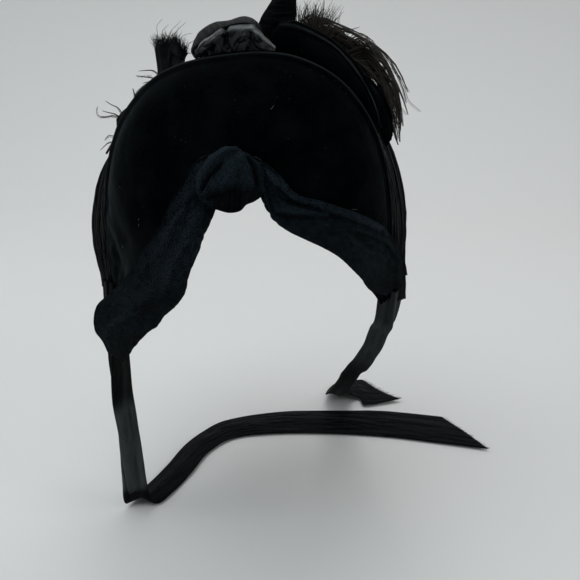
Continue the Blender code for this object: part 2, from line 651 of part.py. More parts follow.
Tie = namedtuple("Tie", "at x y drop width crease facing")
TIE_LEFT = (
    Tie(0.000, -0.965, -0.085, -0.029, 0.36, 0.24, 10.0),
    Tie(0.060, -0.950, -0.115, 0.110, 0.34, 0.32, 10.0),
    Tie(0.120, -0.935, -0.145, 0.260, 0.36, 0.34, 0.0),
    Tie(0.180, -0.905, -0.175, 0.420, 0.32, 0.36, -10.0),
    Tie(0.240, -0.880, -0.205, 0.580, 0.36, 0.34, -10.0),
    Tie(0.300, -0.870, -0.225, 0.750, 0.40, 0.32, 0.0),
    Tie(0.350, -0.860, -0.240, 0.890, 0.44, 0.28, 5.0),
    Tie(0.390, -0.830, -0.255, 0.978, 0.50, 0.16, 8.0),
    Tie(0.430, -0.760, -0.170, 0.990, 0.54, 0.08, -15.0),
    Tie(0.500, -0.650, 0.040, 0.990, 0.55, 0.06, -18.0),
    Tie(0.570, -0.555, 0.260, 0.990, 0.56, 0.06, -24.0),
    Tie(0.640, -0.360, 0.440, 0.990, 0.66, 0.05, -50.0),
    Tie(0.720, 0.050, 0.545, 0.990, 0.80, 0.04, -74.0),
    Tie(0.800, 0.530, 0.590, 0.990, 0.88, 0.04, -87.0),
    Tie(0.880, 1.030, 0.585, 0.990, 0.95, 0.04, -94.0),
    Tie(0.950, 1.480, 0.540, 0.990, 1.00, 0.03, -102.0),
    Tie(1.000, 1.830, 0.445, 0.990, 0.80, 0.02, -124.0),
)
TIE_RIGHT = (
    Tie(0.000, 0.950, -0.085, -0.032, 0.42, 0.24, 10.0),
    Tie(0.080, 0.915, -0.030, 0.070, 0.36, 0.32, 15.0),
    Tie(0.160, 0.875, 0.045, 0.150, 0.30, 0.34, 20.0),
    Tie(0.240, 0.830, 0.130, 0.270, 0.26, 0.36, 25.0),
    Tie(0.320, 0.765, 0.230, 0.390, 0.26, 0.36, 30.0),
    Tie(0.400, 0.700, 0.330, 0.500, 0.30, 0.34, 30.0),
    Tie(0.480, 0.650, 0.440, 0.630, 0.36, 0.30, 25.0),
    Tie(0.560, 0.610, 0.590, 0.770, 0.46, 0.24, 20.0),
    Tie(0.640, 0.585, 0.770, 0.900, 0.56, 0.16, 12.0),
    Tie(0.710, 0.600, 0.870, 0.970, 0.68, 0.10, -4.0),
    Tie(0.790, 0.690, 0.960, 0.982, 0.90, 0.05, -48.0),
    Tie(0.900, 0.880, 0.935, 0.982, 1.05, 0.04, -98.0),
    Tie(1.000, 1.070, 0.850, 0.982, 0.95, 0.03, -126.0),
)
TIE_STEPS = 46
TIE_COLUMNS = 5


def build_tie(name, table):
    fall = LEVEL_DROP - CROWN_RISE
    middle = []
    for at in steps(0.0, 1.0, TIE_STEPS):
        row = read(table, at)
        centre = Vector((row.x * HALF_WIDTH, row.y * CROWN_RISE, -CROWN_RISE - row.drop * fall))
        turn = math.radians(row.facing)
        breadth = Vector((math.cos(turn), math.sin(turn), 0.0)) * row.width * TIE_WIDTH / 2
        hang = 1.0 - ramp(row.drop, 0.86, 0.98)
        away = Vector((math.sin(turn) * hang, -math.cos(turn) * hang, 1.0 - hang))
        crease = away.normalized() * row.crease * TIE_WIDTH
        middle.append([centre + breadth * s + crease * (1.0 - abs(s)) for s in steps(-1.0, 1.0, TIE_COLUMNS)])
    return sheet_object(name, middle, TIE_WALL, "ribbon")


def main():
    for old in list(bpy.data.objects):
        bpy.data.objects.remove(old, do_unlink=True)
    build_crown()
    build_brim()
    build_band("crepe_band_right", BAND_RIGHT)
    build_band("crepe_band_left", BAND_LEFT)
    build_knot()
    build_strip("bow_loop", BOW_LOOP, 15, 5, RIBBON_WALL, "ribbon")
    build_hood("bow_lining", BOW_LINING, 15, 7, RIBBON_WALL, "satin", 0.10)
    build_strip("ribbon_end", RIBBON_END, 9, 6, RIBBON_WALL, "ribbon")
    build_strip("ribbon_tip", RIBBON_TIP, 6, 4, RIBBON_WALL, "ribbon")
    build_strip("tall_loop", TALL_LOOP, 17, 5, RIBBON_WALL, "ribbon")
    build_hood("velvet_fold", VELVET_FOLD, 14, 9, VELVET_WALL, "velvet")
    build_hood("velvet_lobe", VELVET_LOBE, 11, 9, VELVET_WALL, "velvet")
    build_feathers("plume", PLUME_SPINE, PLUME, PLUME_LENGTH)
    build_feathers("left_feathers", LEFT_SPINE, LEFT_FEATHERS, WISP_LENGTH)
    build_tie("tie_left", TIE_LEFT)
    build_tie("tie_right", TIE_RIGHT)


main()
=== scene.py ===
# A small black mourning bonnet: velvet front, pleated silk crown, crepe band with a knot, ribbon
# and velvet loops with feathers on top, and two long ribbon ties.

import json
import math
import random

import bpy
import numpy as np
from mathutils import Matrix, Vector

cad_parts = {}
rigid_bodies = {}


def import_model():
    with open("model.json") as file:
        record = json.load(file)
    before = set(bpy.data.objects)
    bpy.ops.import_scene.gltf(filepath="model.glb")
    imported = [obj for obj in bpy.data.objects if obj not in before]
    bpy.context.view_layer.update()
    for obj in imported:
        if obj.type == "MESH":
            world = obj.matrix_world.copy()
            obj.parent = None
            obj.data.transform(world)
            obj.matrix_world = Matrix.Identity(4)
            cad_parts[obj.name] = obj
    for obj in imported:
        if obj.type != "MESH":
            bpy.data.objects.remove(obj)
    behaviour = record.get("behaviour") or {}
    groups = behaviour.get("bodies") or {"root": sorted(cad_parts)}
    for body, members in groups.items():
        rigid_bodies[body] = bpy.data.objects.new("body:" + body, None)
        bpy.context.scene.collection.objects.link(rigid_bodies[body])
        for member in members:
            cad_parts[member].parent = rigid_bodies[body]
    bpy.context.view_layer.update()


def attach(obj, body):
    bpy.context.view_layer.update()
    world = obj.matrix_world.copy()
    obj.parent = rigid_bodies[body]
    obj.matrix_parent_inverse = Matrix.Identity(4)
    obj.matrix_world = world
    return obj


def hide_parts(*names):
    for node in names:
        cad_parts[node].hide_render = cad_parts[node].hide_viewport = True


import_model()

chance = random.Random(1882)


# Camera, floor and light

view = {
    "place": (0.0693, -0.4251, 0.035),
    "turn": 6.0,              # degrees towards the left
    "tilt": 22.4,             # degrees downwards
    "lens": 42.83,            # on a 36 mm frame
    "floorLevel": -0.3005,
    "floorColour": "e4e4e0",
    "roomColour": "dfe6ea",
    "roomStrength": 0.18,
}


def linear(code):
    # an sRGB hex colour as linear light
    parts = [int(code[i:i + 2], 16) / 255 for i in (0, 2, 4)]
    return [p / 12.92 if p <= 0.04045 else ((p + 0.055) / 1.055) ** 2.4 for p in parts] + [1.0]


def addNode(tree, kind, inputs=None, out=0, **settings):
    # One node: settings are its options, and an input takes a number or the output that feeds it.
    # It gives back the output that its user wants.
    made = tree.nodes.new("ShaderNode" + kind)
    for name, value in settings.items():
        setattr(made, name, value)
    for socket, value in (inputs or {}).items():
        if isinstance(value, bpy.types.NodeSocket):
            tree.links.new(value, made.inputs[socket])
        else:
            made.inputs[socket].default_value = value
    return made.outputs[out]


def startSurface(name, colour, roughness, specular, sheen=0.0, sheenRoughness=0.4, sheenColour="ffffff"):
    made = bpy.data.materials.new(name)
    made.use_nodes = True
    numbers = {"Base Color": linear(colour), "Roughness": roughness, "Specular IOR Level": specular,
               "IOR": 1.5, "Sheen Weight": sheen, "Sheen Roughness": sheenRoughness,
               "Sheen Tint": linear(sheenColour)}
    for socket, value in numbers.items():
        made.node_tree.nodes["Principled BSDF"].inputs[socket].default_value = value
    return made, made.node_tree


def endSurface(made, colour, *layers):
    # feeds the surface its colour, and presses layers of height into it, the finest one first
    tree = made.node_tree
    shader = tree.nodes["Principled BSDF"]
    if colour:
        tree.links.new(colour, shader.inputs["Base Color"])
    relief = {}
    for height, strength, distance in layers:
        relief = {"Normal": addNode(tree, "Bump", {"Height": height, "Strength": strength,
                                                   "Distance": distance, **relief})}
    if relief:
        tree.links.new(relief["Normal"], shader.inputs["Normal"])
    return made


def makeStage():
    matt, tree = startSurface("mattPaper", view["floorColour"], 0.95, 0.1)
    where = addNode(tree, "TexCoord", out="Object")
    grain = addNode(tree, "TexNoise", {"Vector": where, "Scale": 900.0, "Detail": 2.0})
    endSurface(matt, None, (grain, 0.15, 0.0002))
    # a floor that is flat for a way and then sweeps up behind
    flatRun, bendRun, nearEdge = 1.9, 0.6, -1.2
    radius = bendRun / (math.pi / 2)
    bpy.ops.object.select_all(action="DESELECT")
    bpy.ops.mesh.primitive_grid_add(x_subdivisions=2, y_subdivisions=60, size=2.0)
    floor = bpy.context.object
    floor.name = "paleFloor"
    for corner in floor.data.vertices:
        run = (corner.co.y + 1) * 1.5
        bend = min(max(run - flatRun, 0.0) / bendRun, 1.0) * math.pi / 2
        corner.co.x *= 3.0
        corner.co.y = nearEdge + min(run, flatRun) + radius * math.sin(bend)
        corner.co.z = view["floorLevel"] + radius * (1 - math.cos(bend))
        corner.co.z += max(run - flatRun - bendRun, 0.0) * 3.0
    floor.data.materials.append(matt)
    bpy.ops.object.shade_smooth()
    floor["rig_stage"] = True

    room = bpy.data.worlds.new("paleRoom")
    bpy.context.scene.world = room
    room.use_nodes = True
    back = room.node_tree.nodes["Background"]
    back.inputs["Color"].default_value = linear(view["roomColour"])
    back.inputs["Strength"].default_value = view["roomStrength"]

    lamps = (
        ("windowTop", (-0.35, -0.25, 1.5), 1.8, 18.0, "f4f8ff"),
        ("windowLeft", (-1.5, -0.6, 0.7), 1.0, 5.0, "f4f8ff"),
        ("windowRight", (1.5, -0.3, 0.6), 1.0, 5.0, "f8f8ff"),
        ("topBack", (0.1, 0.9, 1.6), 1.2, 9.5, "ffffff"),
    )
    for name, place, size, power, colour in lamps:
        lamp = bpy.data.lights.new(name, "AREA")
        lamp.size = size
        lamp.energy = power
        lamp.color = linear(colour)[:3]
        holder = bpy.data.objects.new(name, lamp)
        bpy.context.scene.collection.objects.link(holder)
        holder.location = place
        holder.rotation_euler = (Vector((0, 0, -0.08)) - Vector(place)).to_track_quat("-Z", "Y").to_euler()

    lens = bpy.data.cameras.new("viewCamera")
    lens.lens = view["lens"]
    lens.sensor_width = 36.0
    lens.clip_start = 0.01
    eye = bpy.data.objects.new("viewCamera", lens)
    bpy.context.scene.collection.objects.link(eye)
    eye.location = view["place"]
    turn, tilt = math.radians(view["turn"]), math.radians(view["tilt"])
    look = Vector((-math.sin(turn) * math.cos(tilt), math.cos(turn) * math.cos(tilt), -math.sin(tilt)))
    eye.rotation_euler = look.to_track_quat("-Z", "Y").to_euler()
    bpy.context.scene.camera = eye
    bpy.context.scene.view_settings.view_transform = "Standard"


makeStage()
print("stage made")


# The form that every layer follows: arches from ear to ear, fanned about the line between the ears

form = {
    "halfWidth": 0.097,
    "rise": 0.145,
    "earForward": 0.012,
    "earSide": 0.965,         # the crown ends at this share of a quarter turn from the top
    "brimSide": 0.940,        # and the brim here
    "earWidth": 0.93,         # width share that the arches draw towards at the ears, and how far
    "earPull": 0.6,
    "lean": 0.060,            # the top is fuller on the right
    "sway": 0.0040,           # the crown's sides stand this far to the left
    # fan angle, width and rise as shares, fullness
    "arches": (
        (20, 0.700, 0.640, 2.4), (34, 0.735, 0.730, 2.4), (47, 0.770, 0.807, 2.4),
        (53, 0.800, 0.905, 2.5), (60, 0.835, 1.003, 2.6), (67, 0.862, 1.078, 2.7),
        (73, 0.880, 1.107, 2.7), (79, 0.905, 1.075, 2.6), (86, 0.965, 1.030, 2.5),
        (95, 1.005, 1.004, 2.5), (107, 1.015, 1.024, 2.4), (121, 0.965, 1.020, 2.3),
        (136, 0.880, 0.972, 2.3), (148, 0.800, 0.903, 2.3), (156, 0.750, 0.850, 2.3)),
}
earMiddle = np.array((0.0, -form["earForward"], -form["rise"]))


def readRows(rows, keys):
    # reads a table smoothly between its rows, for many keys at once
    rows = np.asarray(rows, float)
    keys = np.asarray(keys, float)
    last = len(rows) - 1
    i = np.searchsorted(rows[1:last, 0], keys, side="left")
    low, high = rows[i], rows[i + 1]
    before, after = rows[np.maximum(i - 1, 0)], rows[np.minimum(i + 2, last)]
    span = high[..., :1] - low[..., :1]
    t = np.clip((keys[..., None] - low[..., :1]) / span, 0, 1)
    start = (high - before) / (high[..., :1] - before[..., :1]) * span
    end = (after - low) / (after[..., :1] - low[..., :1]) * span
    return ((2 * t ** 3 - 3 * t * t + 1) * low + (t ** 3 - 2 * t * t + t) * start
            + (3 * t * t - 2 * t ** 3) * high + (t ** 3 - t * t) * end)


def ramp(value, start, end):
    t = np.clip((np.asarray(value, float) - start) / (end - start), 0, 1)
    return t * t * (3 - 2 * t)


def hump(value, middle, width):
    # a soft bump, 1 high at its middle
    return np.exp(-((value - middle) / width) ** 2)


def domed(share):
    # a round profile, 1 high in the middle and 0 where the share is 1 either way
    return np.sqrt(np.clip(1 - share ** 2, 0, 1))


def formPoint(angle, side, lift):
    # a point of the form, by fan angle and share of a quarter turn, lifted off it in metres
    angle, side, lift = np.broadcast_arrays(*(np.asarray(a, float) for a in (angle, side, lift)))
    arch = readRows(form["arches"], angle)
    bearing = np.radians(90.0 * side)
    away = np.abs(side)
    width = arch[..., 1] + form["earPull"] * ramp(away, 0.6, 1.0) * (form["earWidth"] - arch[..., 1])
    across = np.abs(np.sin(bearing)) / (width * form["halfWidth"] + lift)
    up = np.cos(bearing) / (arch[..., 2] * form["rise"] + lift)
    reach = (across ** arch[..., 3] + up ** arch[..., 3]) ** (-1.0 / arch[..., 3])
    reach = reach * (1 + form["lean"] * np.sin(math.pi * side) * (1 - side * side) ** 3)
    sway = form["sway"] * ramp(angle, 76, 92) * ramp(away, 0.25, 0.55) * (1 - ramp(away, 0.75, 1.0))
    fan = np.radians(angle)
    out = reach * np.cos(bearing)
    return np.stack((reach * np.sin(bearing) - sway, -form["earForward"] - out * np.cos(fan),
                     -form["rise"] + out * np.sin(fan)), axis=-1)


noiseTable = np.random.default_rng(7).random((40, 40, 40))


def wobble(points, size, seed=0):
    # smooth random heights from -1 to 1, with humps of about this size in metres
    p = np.asarray(points, float) / size + 101.3 + 7.31 * seed
    cell = np.floor(p).astype(int)
    f = p - cell
    f = f * f * (3 - 2 * f)
    total = 0.0
    for corner in range(8):
        step = np.array((corner & 1, corner >> 1 & 1, corner >> 2 & 1))
        weight = np.prod(np.where(step, f, 1 - f), axis=-1)
        at = (cell + step) % 40
        total = total + weight * noiseTable[at[..., 0], at[..., 1], at[..., 2]]
    return 2 * total - 1


def creased(flat, line, width, height, steep=0.22, fade=4.0):
    # A fold along a line drawn on the flat cloth, in millimetres: the cloth swells towards the
    # line from its left and drops off steeply on its right.
    line = np.asarray(line, float)
    best = np.full(len(flat), 1e9)
    signed = np.zeros(len(flat))
    ends = np.ones(len(flat))
    for a, b in zip(line[:-1], line[1:]):
        run = b - a
        t = ((flat - a) @ run) / (run @ run)
        near = a + np.clip(t, 0, 1)[:, None] * run
        gap = np.linalg.norm(flat - near, axis=1)
        sign = np.sign(run[0] * (flat[:, 1] - a[1]) - run[1] * (flat[:, 0] - a[0]))
        closer = gap < best
        best = np.where(closer, gap, best)
        signed = np.where(closer, gap * np.where(sign == 0, 1, sign), signed)
    for tip in (line[0], line[-1]):
        ends = ends * ramp(np.linalg.norm(flat - tip, axis=1), 0.0, fade)
    scaled = np.where(signed > 0, signed / width, signed / (steep * width))
    return height * np.exp(-scaled ** 2) * ends


# Making pieces

def alone(piece):
    bpy.ops.object.select_all(action="DESELECT")
    bpy.context.view_layer.objects.active = piece
    piece.select_set(True)


def points(piece):
    read = np.empty(len(piece.data.vertices) * 3, np.float32)
    piece.data.vertices.foreach_get("co", read)
    return read.reshape(-1, 3).astype(float)


def movePoints(piece, places):
    piece.data.vertices.foreach_set("co", np.asarray(places, np.float32).ravel())
    piece.data.update()


def layCloth(name, columns, rows, place, size):
    # a flat grid of cloth, laid into its place; its UV map is in millimetres on the flat cloth
    bpy.ops.object.select_all(action="DESELECT")
    bpy.ops.mesh.primitive_grid_add(x_subdivisions=columns, y_subdivisions=rows, size=2.0)
    piece = bpy.context.object
    piece.name = piece.data.name = name
    flat = points(piece)
    u, v = (flat[:, 0] + 1) / 2, (flat[:, 1] + 1) / 2
    layer = piece.data.uv_layers.active.data
    read = np.empty(len(layer) * 2, np.float32)
    layer.foreach_get("uv", read)
    layer.foreach_set("uv", (read.reshape(-1, 2) * np.array(size) * 1000).astype(np.float32).ravel())
    movePoints(piece, place(u, v))
    return piece, u, v


def flatPlaces(u, v, size):
    # places on the flat cloth in millimetres
    return np.stack((u * size[0] * 1000, v * size[1] * 1000), axis=1)


def faceOut(piece, centre=None):
    # turns the cloth so that its right side is away from the centre
    centre = earMiddle if centre is None else np.asarray(centre)
    normals = np.empty(len(piece.data.vertices) * 3, np.float32)
    piece.data.vertices.foreach_get("normal", normals)
    if ((points(piece) - centre) * normals.reshape(-1, 3)).sum() < 0:
        alone(piece)
        bpy.ops.object.mode_set(mode="EDIT")
        bpy.ops.mesh.select_all(action="SELECT")
        bpy.ops.mesh.flip_normals()
        bpy.ops.object.mode_set(mode="OBJECT")


def pressOut(piece, heights):
    normals = np.empty(len(piece.data.vertices) * 3, np.float32)
    piece.data.vertices.foreach_get("normal", normals)
    movePoints(piece, points(piece) + normals.reshape(-1, 3) * np.asarray(heights)[:, None])


def paintedLight(piece, shares):
    # painted light: how much lighter the cloth is painted at each point, most on a fold's crest, least in a
    # hollow
    layer = piece.data.attributes.new("paintedLight", "FLOAT", "POINT")
    layer.data.foreach_set("value", np.clip(shares, 0, 1).astype(np.float32))


def giveWall(piece, wall, offset=-1.0, share=None, inside=0):
    # thickens the cloth; share thins it point by point, and inside is the inner face's material
    alone(piece)
    made = piece.modifiers.new("wall", "SOLIDIFY")
    made.thickness = wall
    made.offset = offset
    made.material_offset = inside
    made.material_offset_rim = 0
    if share is not None:
        group = piece.vertex_groups.new(name="wall")
        for i, weight in enumerate(share):
            group.add([i], float(weight), "REPLACE")
        made.vertex_group = "wall"
    bpy.ops.object.modifier_apply(modifier="wall")


def finishPiece(piece, materials, nodes=()):
    piece.data.materials.clear()
    for made in materials:
        piece.data.materials.append(made)
    alone(piece)
    bpy.ops.object.shade_smooth()
    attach(piece, "root")
    if nodes:
        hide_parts(*nodes)
    return piece


def drawStrands(name, strands, material, nodes=()):
    # Many thin strands in one piece. Each is its points and its half thickness at each.
    line = bpy.data.curves.new(name, "CURVE")
    line.dimensions = "3D"
    line.bevel_depth = 1.0
    line.bevel_resolution = 0
    line.use_fill_caps = True
    for places, girths in strands:
        spline = line.splines.new("POLY")
        spline.points.add(len(places) - 1)
        spline.points.foreach_set("co", np.c_[places, np.ones(len(places))].astype(np.float32).ravel())
        spline.points.foreach_set("radius", np.asarray(girths, np.float32))
    piece = bpy.data.objects.new(name, line)
    bpy.context.scene.collection.objects.link(piece)
    alone(piece)
    bpy.ops.object.convert(target="MESH")
    piece = bpy.context.object
    return finishPiece(piece, [material], nodes)


def bendStrand(start, aim, length, droop, curl, girth, steps=7):
    # a tapering strand that leaves along aim, droops and curls a little
    aim = np.asarray(aim, float) / np.linalg.norm(aim)
    aside = np.cross(aim, (0.2, 0.9, 0.3))
    aside = aside / np.linalg.norm(aside)
    phase = chance.uniform(0, 2 * math.pi)
    t = np.linspace(0, 1, steps)
    places = (np.asarray(start) + aim * (length * t)[:, None]
              + np.asarray(droop) * (length * t * t)[:, None]
              + aside * (curl * length * (np.sin(3.1 * t + phase) - math.sin(phase)))[:, None])
    return places, girth * (1 - 0.75 * t)


# Materials. Scales are worked out from sizes in metres, or in millimetres on a UV map.

def silkVelvet():
    # Silk velvet, a cut pile that stands up: black where one looks into it, grey along its edges
    # and where the nap is brushed over, with dust caught in it, and painted sheen where paintedLight says.
    made, tree = startSurface("silkVelvet", "020405", 0.95, 0.015, 0.10, 0.28, "a8bcc0")
    where = addNode(tree, "TexCoord", out="Object")
    nap = addNode(tree, "TexNoise", {"Vector": where, "Scale": 1 / 0.016, "Detail": 3.0})
    dust = addNode(tree, "TexVoronoi", {"Vector": where, "Scale": 1 / 0.0030}, out="Distance")
    speck = addNode(tree, "MapRange", {0: dust, 1: 0.06, 2: 0.14, 3: 1.0, 4: 0.0})
    parts = addNode(tree, "SeparateColor", {0: dust.node.outputs["Color"]})
    chosen = addNode(tree, "MapRange", {0: parts, 1: 0.50, 2: 1.0, 3: 0.0, 4: 0.40})
    dusty = addNode(tree, "Math", {0: speck, 1: chosen}, operation="MULTIPLY")
    patches = addNode(tree, "MapRange", {0: nap, 1: 0.42, 2: 0.72, 3: 0.0, 4: 1.0})
    napAndPaintedSheen = addNode(tree, "Mix", {0: patches, 6: linear("000102"), 7: linear("060a0c")}, 2,
                      data_type="RGBA")
    # pile ends, drawn at 0.8 mm because the real ones are too fine to show
    pile = addNode(tree, "TexNoise", {"Vector": where, "Scale": 1 / 0.0008, "Detail": 2.0})
    lighter = addNode(tree, "MapRange", {0: pile, 1: 0.45, 2: 0.75, 3: 0.0, 4: 0.5})
    ends = addNode(tree, "Mix", {0: lighter, 6: napAndPaintedSheen, 7: linear("080d0f")}, 2, data_type="RGBA")
    # painted sheen and painted highlight: the pile is mixed towards grey where the paintedLight attribute
    # says
    crest = addNode(tree, "Attribute", out="Fac", attribute_name="paintedLight")
    withPaintedLight = addNode(tree, "Mix", {0: crest, 6: ends, 7: linear("2c3030")}, 2, data_type="RGBA")
    colour = addNode(tree, "Mix", {0: dusty, 6: withPaintedLight, 7: linear("3c4444")}, 2, data_type="RGBA")
    return endSurface(made, colour, (pile, 0.7, 0.0003), (nap, 0.6, 0.0014))


def plainSilk():
    # Plain-woven black silk, gathered into pleats: a soft lustre, with fine lines along the gathers painted
    # lighter where raised, a painted highlight.
    made, tree = startSurface("plainSilk", "06080a", 0.45, 0.18, 0.035, 0.3, "b0c4c8")
    flat = addNode(tree, "TexCoord", out="UV")
    ribs = addNode(tree, "TexWave", {"Vector": flat, "Scale": 0.314 / 0.7, "Distortion": 0.8, "Detail": 1.0},
                   1, bands_direction="X")
    drawn = addNode(tree, "Mapping", {"Vector": flat, "Scale": (0.05, 1.0, 1.0)})
    lines = addNode(tree, "TexNoise", {"Vector": drawn, "Scale": 0.55, "Detail": 3.0})
    withPaintedLight = addNode(tree, "Mix", {0: lines, 6: linear("030607"), 7: linear("0c1012")}, 2, data_type="RGBA")
    return endSurface(made, withPaintedLight, (ribs, 0.25, 0.10), (lines, 0.8, 0.9))


def mourningCrepe():
    # Mourning crepe, silk gauze crimped by heated rollers: dull, blue-black and finely wrinkled.
    made, tree = startSurface("mourningCrepe", "080b0e", 0.9, 0.07, 0.055, 0.45, "9cb8c4")
    flat = addNode(tree, "TexCoord", out="UV")
    turned = addNode(tree, "Mapping", {"Vector": flat, "Rotation": (0, 0, 0.7)})
    crimp = addNode(tree, "TexWave", {"Vector": turned, "Scale": 0.314 / 1.1, "Distortion": 5.0,
                                      "Detail": 2.0, "Detail Scale": 2.2}, 1)
    grain = addNode(tree, "TexNoise", {"Vector": flat, "Scale": 1.6, "Detail": 3.0})
    spread = addNode(tree, "MapRange", {0: grain, 1: 0.35, 2: 0.70, 3: 0.0, 4: 1.0})
    grey = addNode(tree, "Mix", {0: spread, 6: linear("080f14"), 7: linear("374750")}, 2, data_type="RGBA")
    # painted shade and painted light: near black where the paintedLight attribute is low, in the hollows,
    # and the grained grey where it is high, on the crests
    crest = addNode(tree, "Attribute", out="Fac", attribute_name="paintedLight")
    tone = addNode(tree, "Mix", {0: crest, 6: linear("020305"), 7: grey}, 2, data_type="RGBA")
    return endSurface(made, tone, (crimp, 0.8, 0.28), (grain, 0.7, 0.35))


def crumpledSatin():
    # Silk satin, woven with long floats: smooth, with painted highlights as bright streaks where it is
    # crumpled.
    made, tree = startSurface("crumpledSatin", "0a0c10", 0.34, 0.30, 0.03, 0.3, "d0d8e0")
    tree.nodes["Principled BSDF"].inputs["Anisotropic"].default_value = 0.4
    flat = addNode(tree, "TexCoord", out="UV")
    folds = addNode(tree, "TexNoise", {"Vector": flat, "Scale": 0.10, "Detail": 1.5, "Distortion": 0.6})
    floats = addNode(tree, "TexNoise", {"Vector": flat, "Scale": 2.5, "Detail": 1.0})
    crest = addNode(tree, "Attribute", out="Fac", attribute_name="paintedLight")
    shade = addNode(tree, "Mix", {0: crest, 6: linear("05080c"), 7: linear("666a6a")}, 2, data_type="RGBA")
    return endSurface(made, shade, (folds, 0.35, 1.6), (floats, 0.12, 0.08))


def ribbedRibbon(name, dark, light, specular, withPaintedLight=False):
    # Faille ribbon, woven with a thick weft: fine ribs across it, faded to a greenish grey-black.
    # With painted light, its stain is greyest where its own paintedLight attribute says.
    made, tree = startSurface(name, dark, 0.6, specular, 0.03, 0.35, "b4c4c0")
    flat = addNode(tree, "TexCoord", out="UV")
    ribs = addNode(tree, "TexWave", {"Vector": flat, "Scale": 0.314 / 0.8, "Distortion": 0.3}, 1,
                   bands_direction="Y")
    drawn = addNode(tree, "Mapping", {"Vector": flat, "Scale": (1.0, 0.2, 1.0)})
    stain = addNode(tree, "TexNoise", {"Vector": drawn, "Scale": 0.16, "Detail": 4.0})
    stainAndPaintedLight = stain
    if withPaintedLight:
        crest = addNode(tree, "Attribute", out="Fac", attribute_name="paintedLight")
        stainAndPaintedLight = addNode(tree, "Math", {0: stain, 1: crest}, operation="MULTIPLY")
    tone = addNode(tree, "Mix", {0: stainAndPaintedLight, 6: linear(dark), 7: linear(light)}, 2, data_type="RGBA")
    return endSurface(made, tone, (ribs, 0.35, 0.1), (stain, 0.3, 0.8))


def blackCotton():
    # Plain-woven cotton lining: quite dull, with a visible weave.
    made, tree = startSurface("blackCotton", "0e0e10", 0.9, 0.2, 0.1, 0.5, "c0c0c0")
    where = addNode(tree, "TexCoord", out="Object")
    weave = addNode(tree, "TexVoronoi", {"Vector": where, "Scale": 1 / 0.0009, "Randomness": 0.25},
                    "Distance")
    return endSurface(made, None, (weave, 0.5, 0.0002))


def ostrichFeather(name, dark, light):
    # Dyed feather that has faded from black to brown: matt barbs, each a slightly different tone.
    made, tree = startSurface(name, dark, 0.7, 0.25, 0.2, 0.4, "c8c0b4")
    where = addNode(tree, "TexCoord", out="Object")
    streak = addNode(tree, "TexNoise", {"Vector": where, "Scale": 1 / 0.004, "Detail": 3.0})
    return endSurface(made, addNode(tree, "Mix", {0: streak, 6: linear(dark), 7: linear(light)}, 2,
                                    data_type="RGBA"))


velvet = silkVelvet()
silk = plainSilk()
crepe = mourningCrepe()
satin = crumpledSatin()
ribbon = ribbedRibbon("failleRibbon", "060809", "151918", 0.11)
darkRibbon = ribbedRibbon("darkRibbon", "010203", "080b0d", 0.05)
leftRibbon = ribbedRibbon("leftTieRibbon", "010304", "565d5b", 0.05, withPaintedLight=True)
rightRibbon = ribbedRibbon("rightTieRibbon", "010304", "4c5252", 0.05, withPaintedLight=True)
cotton = blackCotton()
feather = ostrichFeather("brownFeather", "0a0a09", "403c34")
paleFeather = ostrichFeather("fadedFeather", "121110", "35322c")
frayThread, _ = startSurface("frayedThread", "0e1112", 0.7, 0.2, 0.05, 0.4)
lintThread, _ = startSurface("lintThread", "6a6e6c", 0.8, 0.2)
print("materials made")


# Crown: silk pleated from ear to ear, with finer gathers towards the ears

crown = {
    "edgeAngle": 73.0,
    "napeAngle": 155.0,
    "wall": 0.0020,           # of the solid, and of the silk drawn here
    "drawnWall": 0.0012,
    "pleatDepth": 0.0045,
    "pleats": 8,
    "pleatLean": 0.8,         # below 1, the pleats' crests lean towards the front
    "pleatFade": 0.55,        # the share of their depth that they lose by the nape
    "fadeStart": 100.0,
    "gathers": 30,
    "gatherDepth": 0.0013,
    "hemAt": 0.985,           # the nape's hem, as a share of the way from the brim's edge
    "hemWidth": 0.012,
    "hemHeight": 0.0007,
    "seamGap": 0.0004,
}


def pleatShare(side):
    # pleats lie flat on top and deepen towards the ears
    return 0.25 + 0.75 * ramp(np.abs(side), 0.34, 0.58)


def seat(side):
    # what lies on the crown clears its pleats by this
    return crown["wall"] + crown["pleatDepth"] * pleatShare(side) + crown["seamGap"]


def crownPlace(u, v):
    side = (2 * u - 1) * form["earSide"]
    angle = crown["edgeAngle"] + (crown["napeAngle"] - crown["edgeAngle"]) * v
    guide = formPoint(angle, side, 0.0)
    # pleats laid by hand wander a little
    drift = 0.10 * wobble(guide, 0.035, 3) + 0.05 * wobble(guide, 0.015, 4)
    phase = (v * crown["pleats"] + drift * ramp(v, 0.0, 0.08)) % 1.0
    fade = 1.0 - crown["pleatFade"] * ramp(angle, crown["fadeStart"], crown["napeAngle"])
    fold = (0.5 - 0.5 * np.cos(2 * math.pi * phase ** crown["pleatLean"])) * fade
    # fine gathers with narrow grooves, deepest towards the ears
    near = ramp(np.abs(side), 0.30, 0.70)
    fine = np.sin(2 * math.pi * (v * crown["gathers"] + 1.6 * drift + 0.4 * side))
    fine = np.sign(fine) * np.abs(fine) ** 0.7
    lift = crown["wall"] + crown["pleatDepth"] * pleatShare(side) * fold
    lift = lift + crown["gatherDepth"] * (0.25 + 0.75 * near) * fine * ramp(v, 0.0, 0.03)
    lift = lift + 0.0003 * wobble(guide, 0.006, 5)
    lift = np.maximum(lift, crown["wall"] * 0.8)
    lift = lift + crown["hemHeight"] * hump(v, crown["hemAt"], crown["hemWidth"])
    fan = math.radians(crown["edgeAngle"])
    shift = np.array((0.0, math.sin(fan), math.cos(fan))) * crown["seamGap"]
    return formPoint(angle, side, lift) + shift


piece, u, v = layCloth("silkCrown", 100, 280, crownPlace, (0.30, 0.34))
faceOut(piece)
giveWall(piece, crown["drawnWall"], inside=1)
silkCrown = finishPiece(piece, [silk, cotton], ["crown"])
print("crown made")


# Brim: the domed velvet front, rolled over a wire at its upper edge

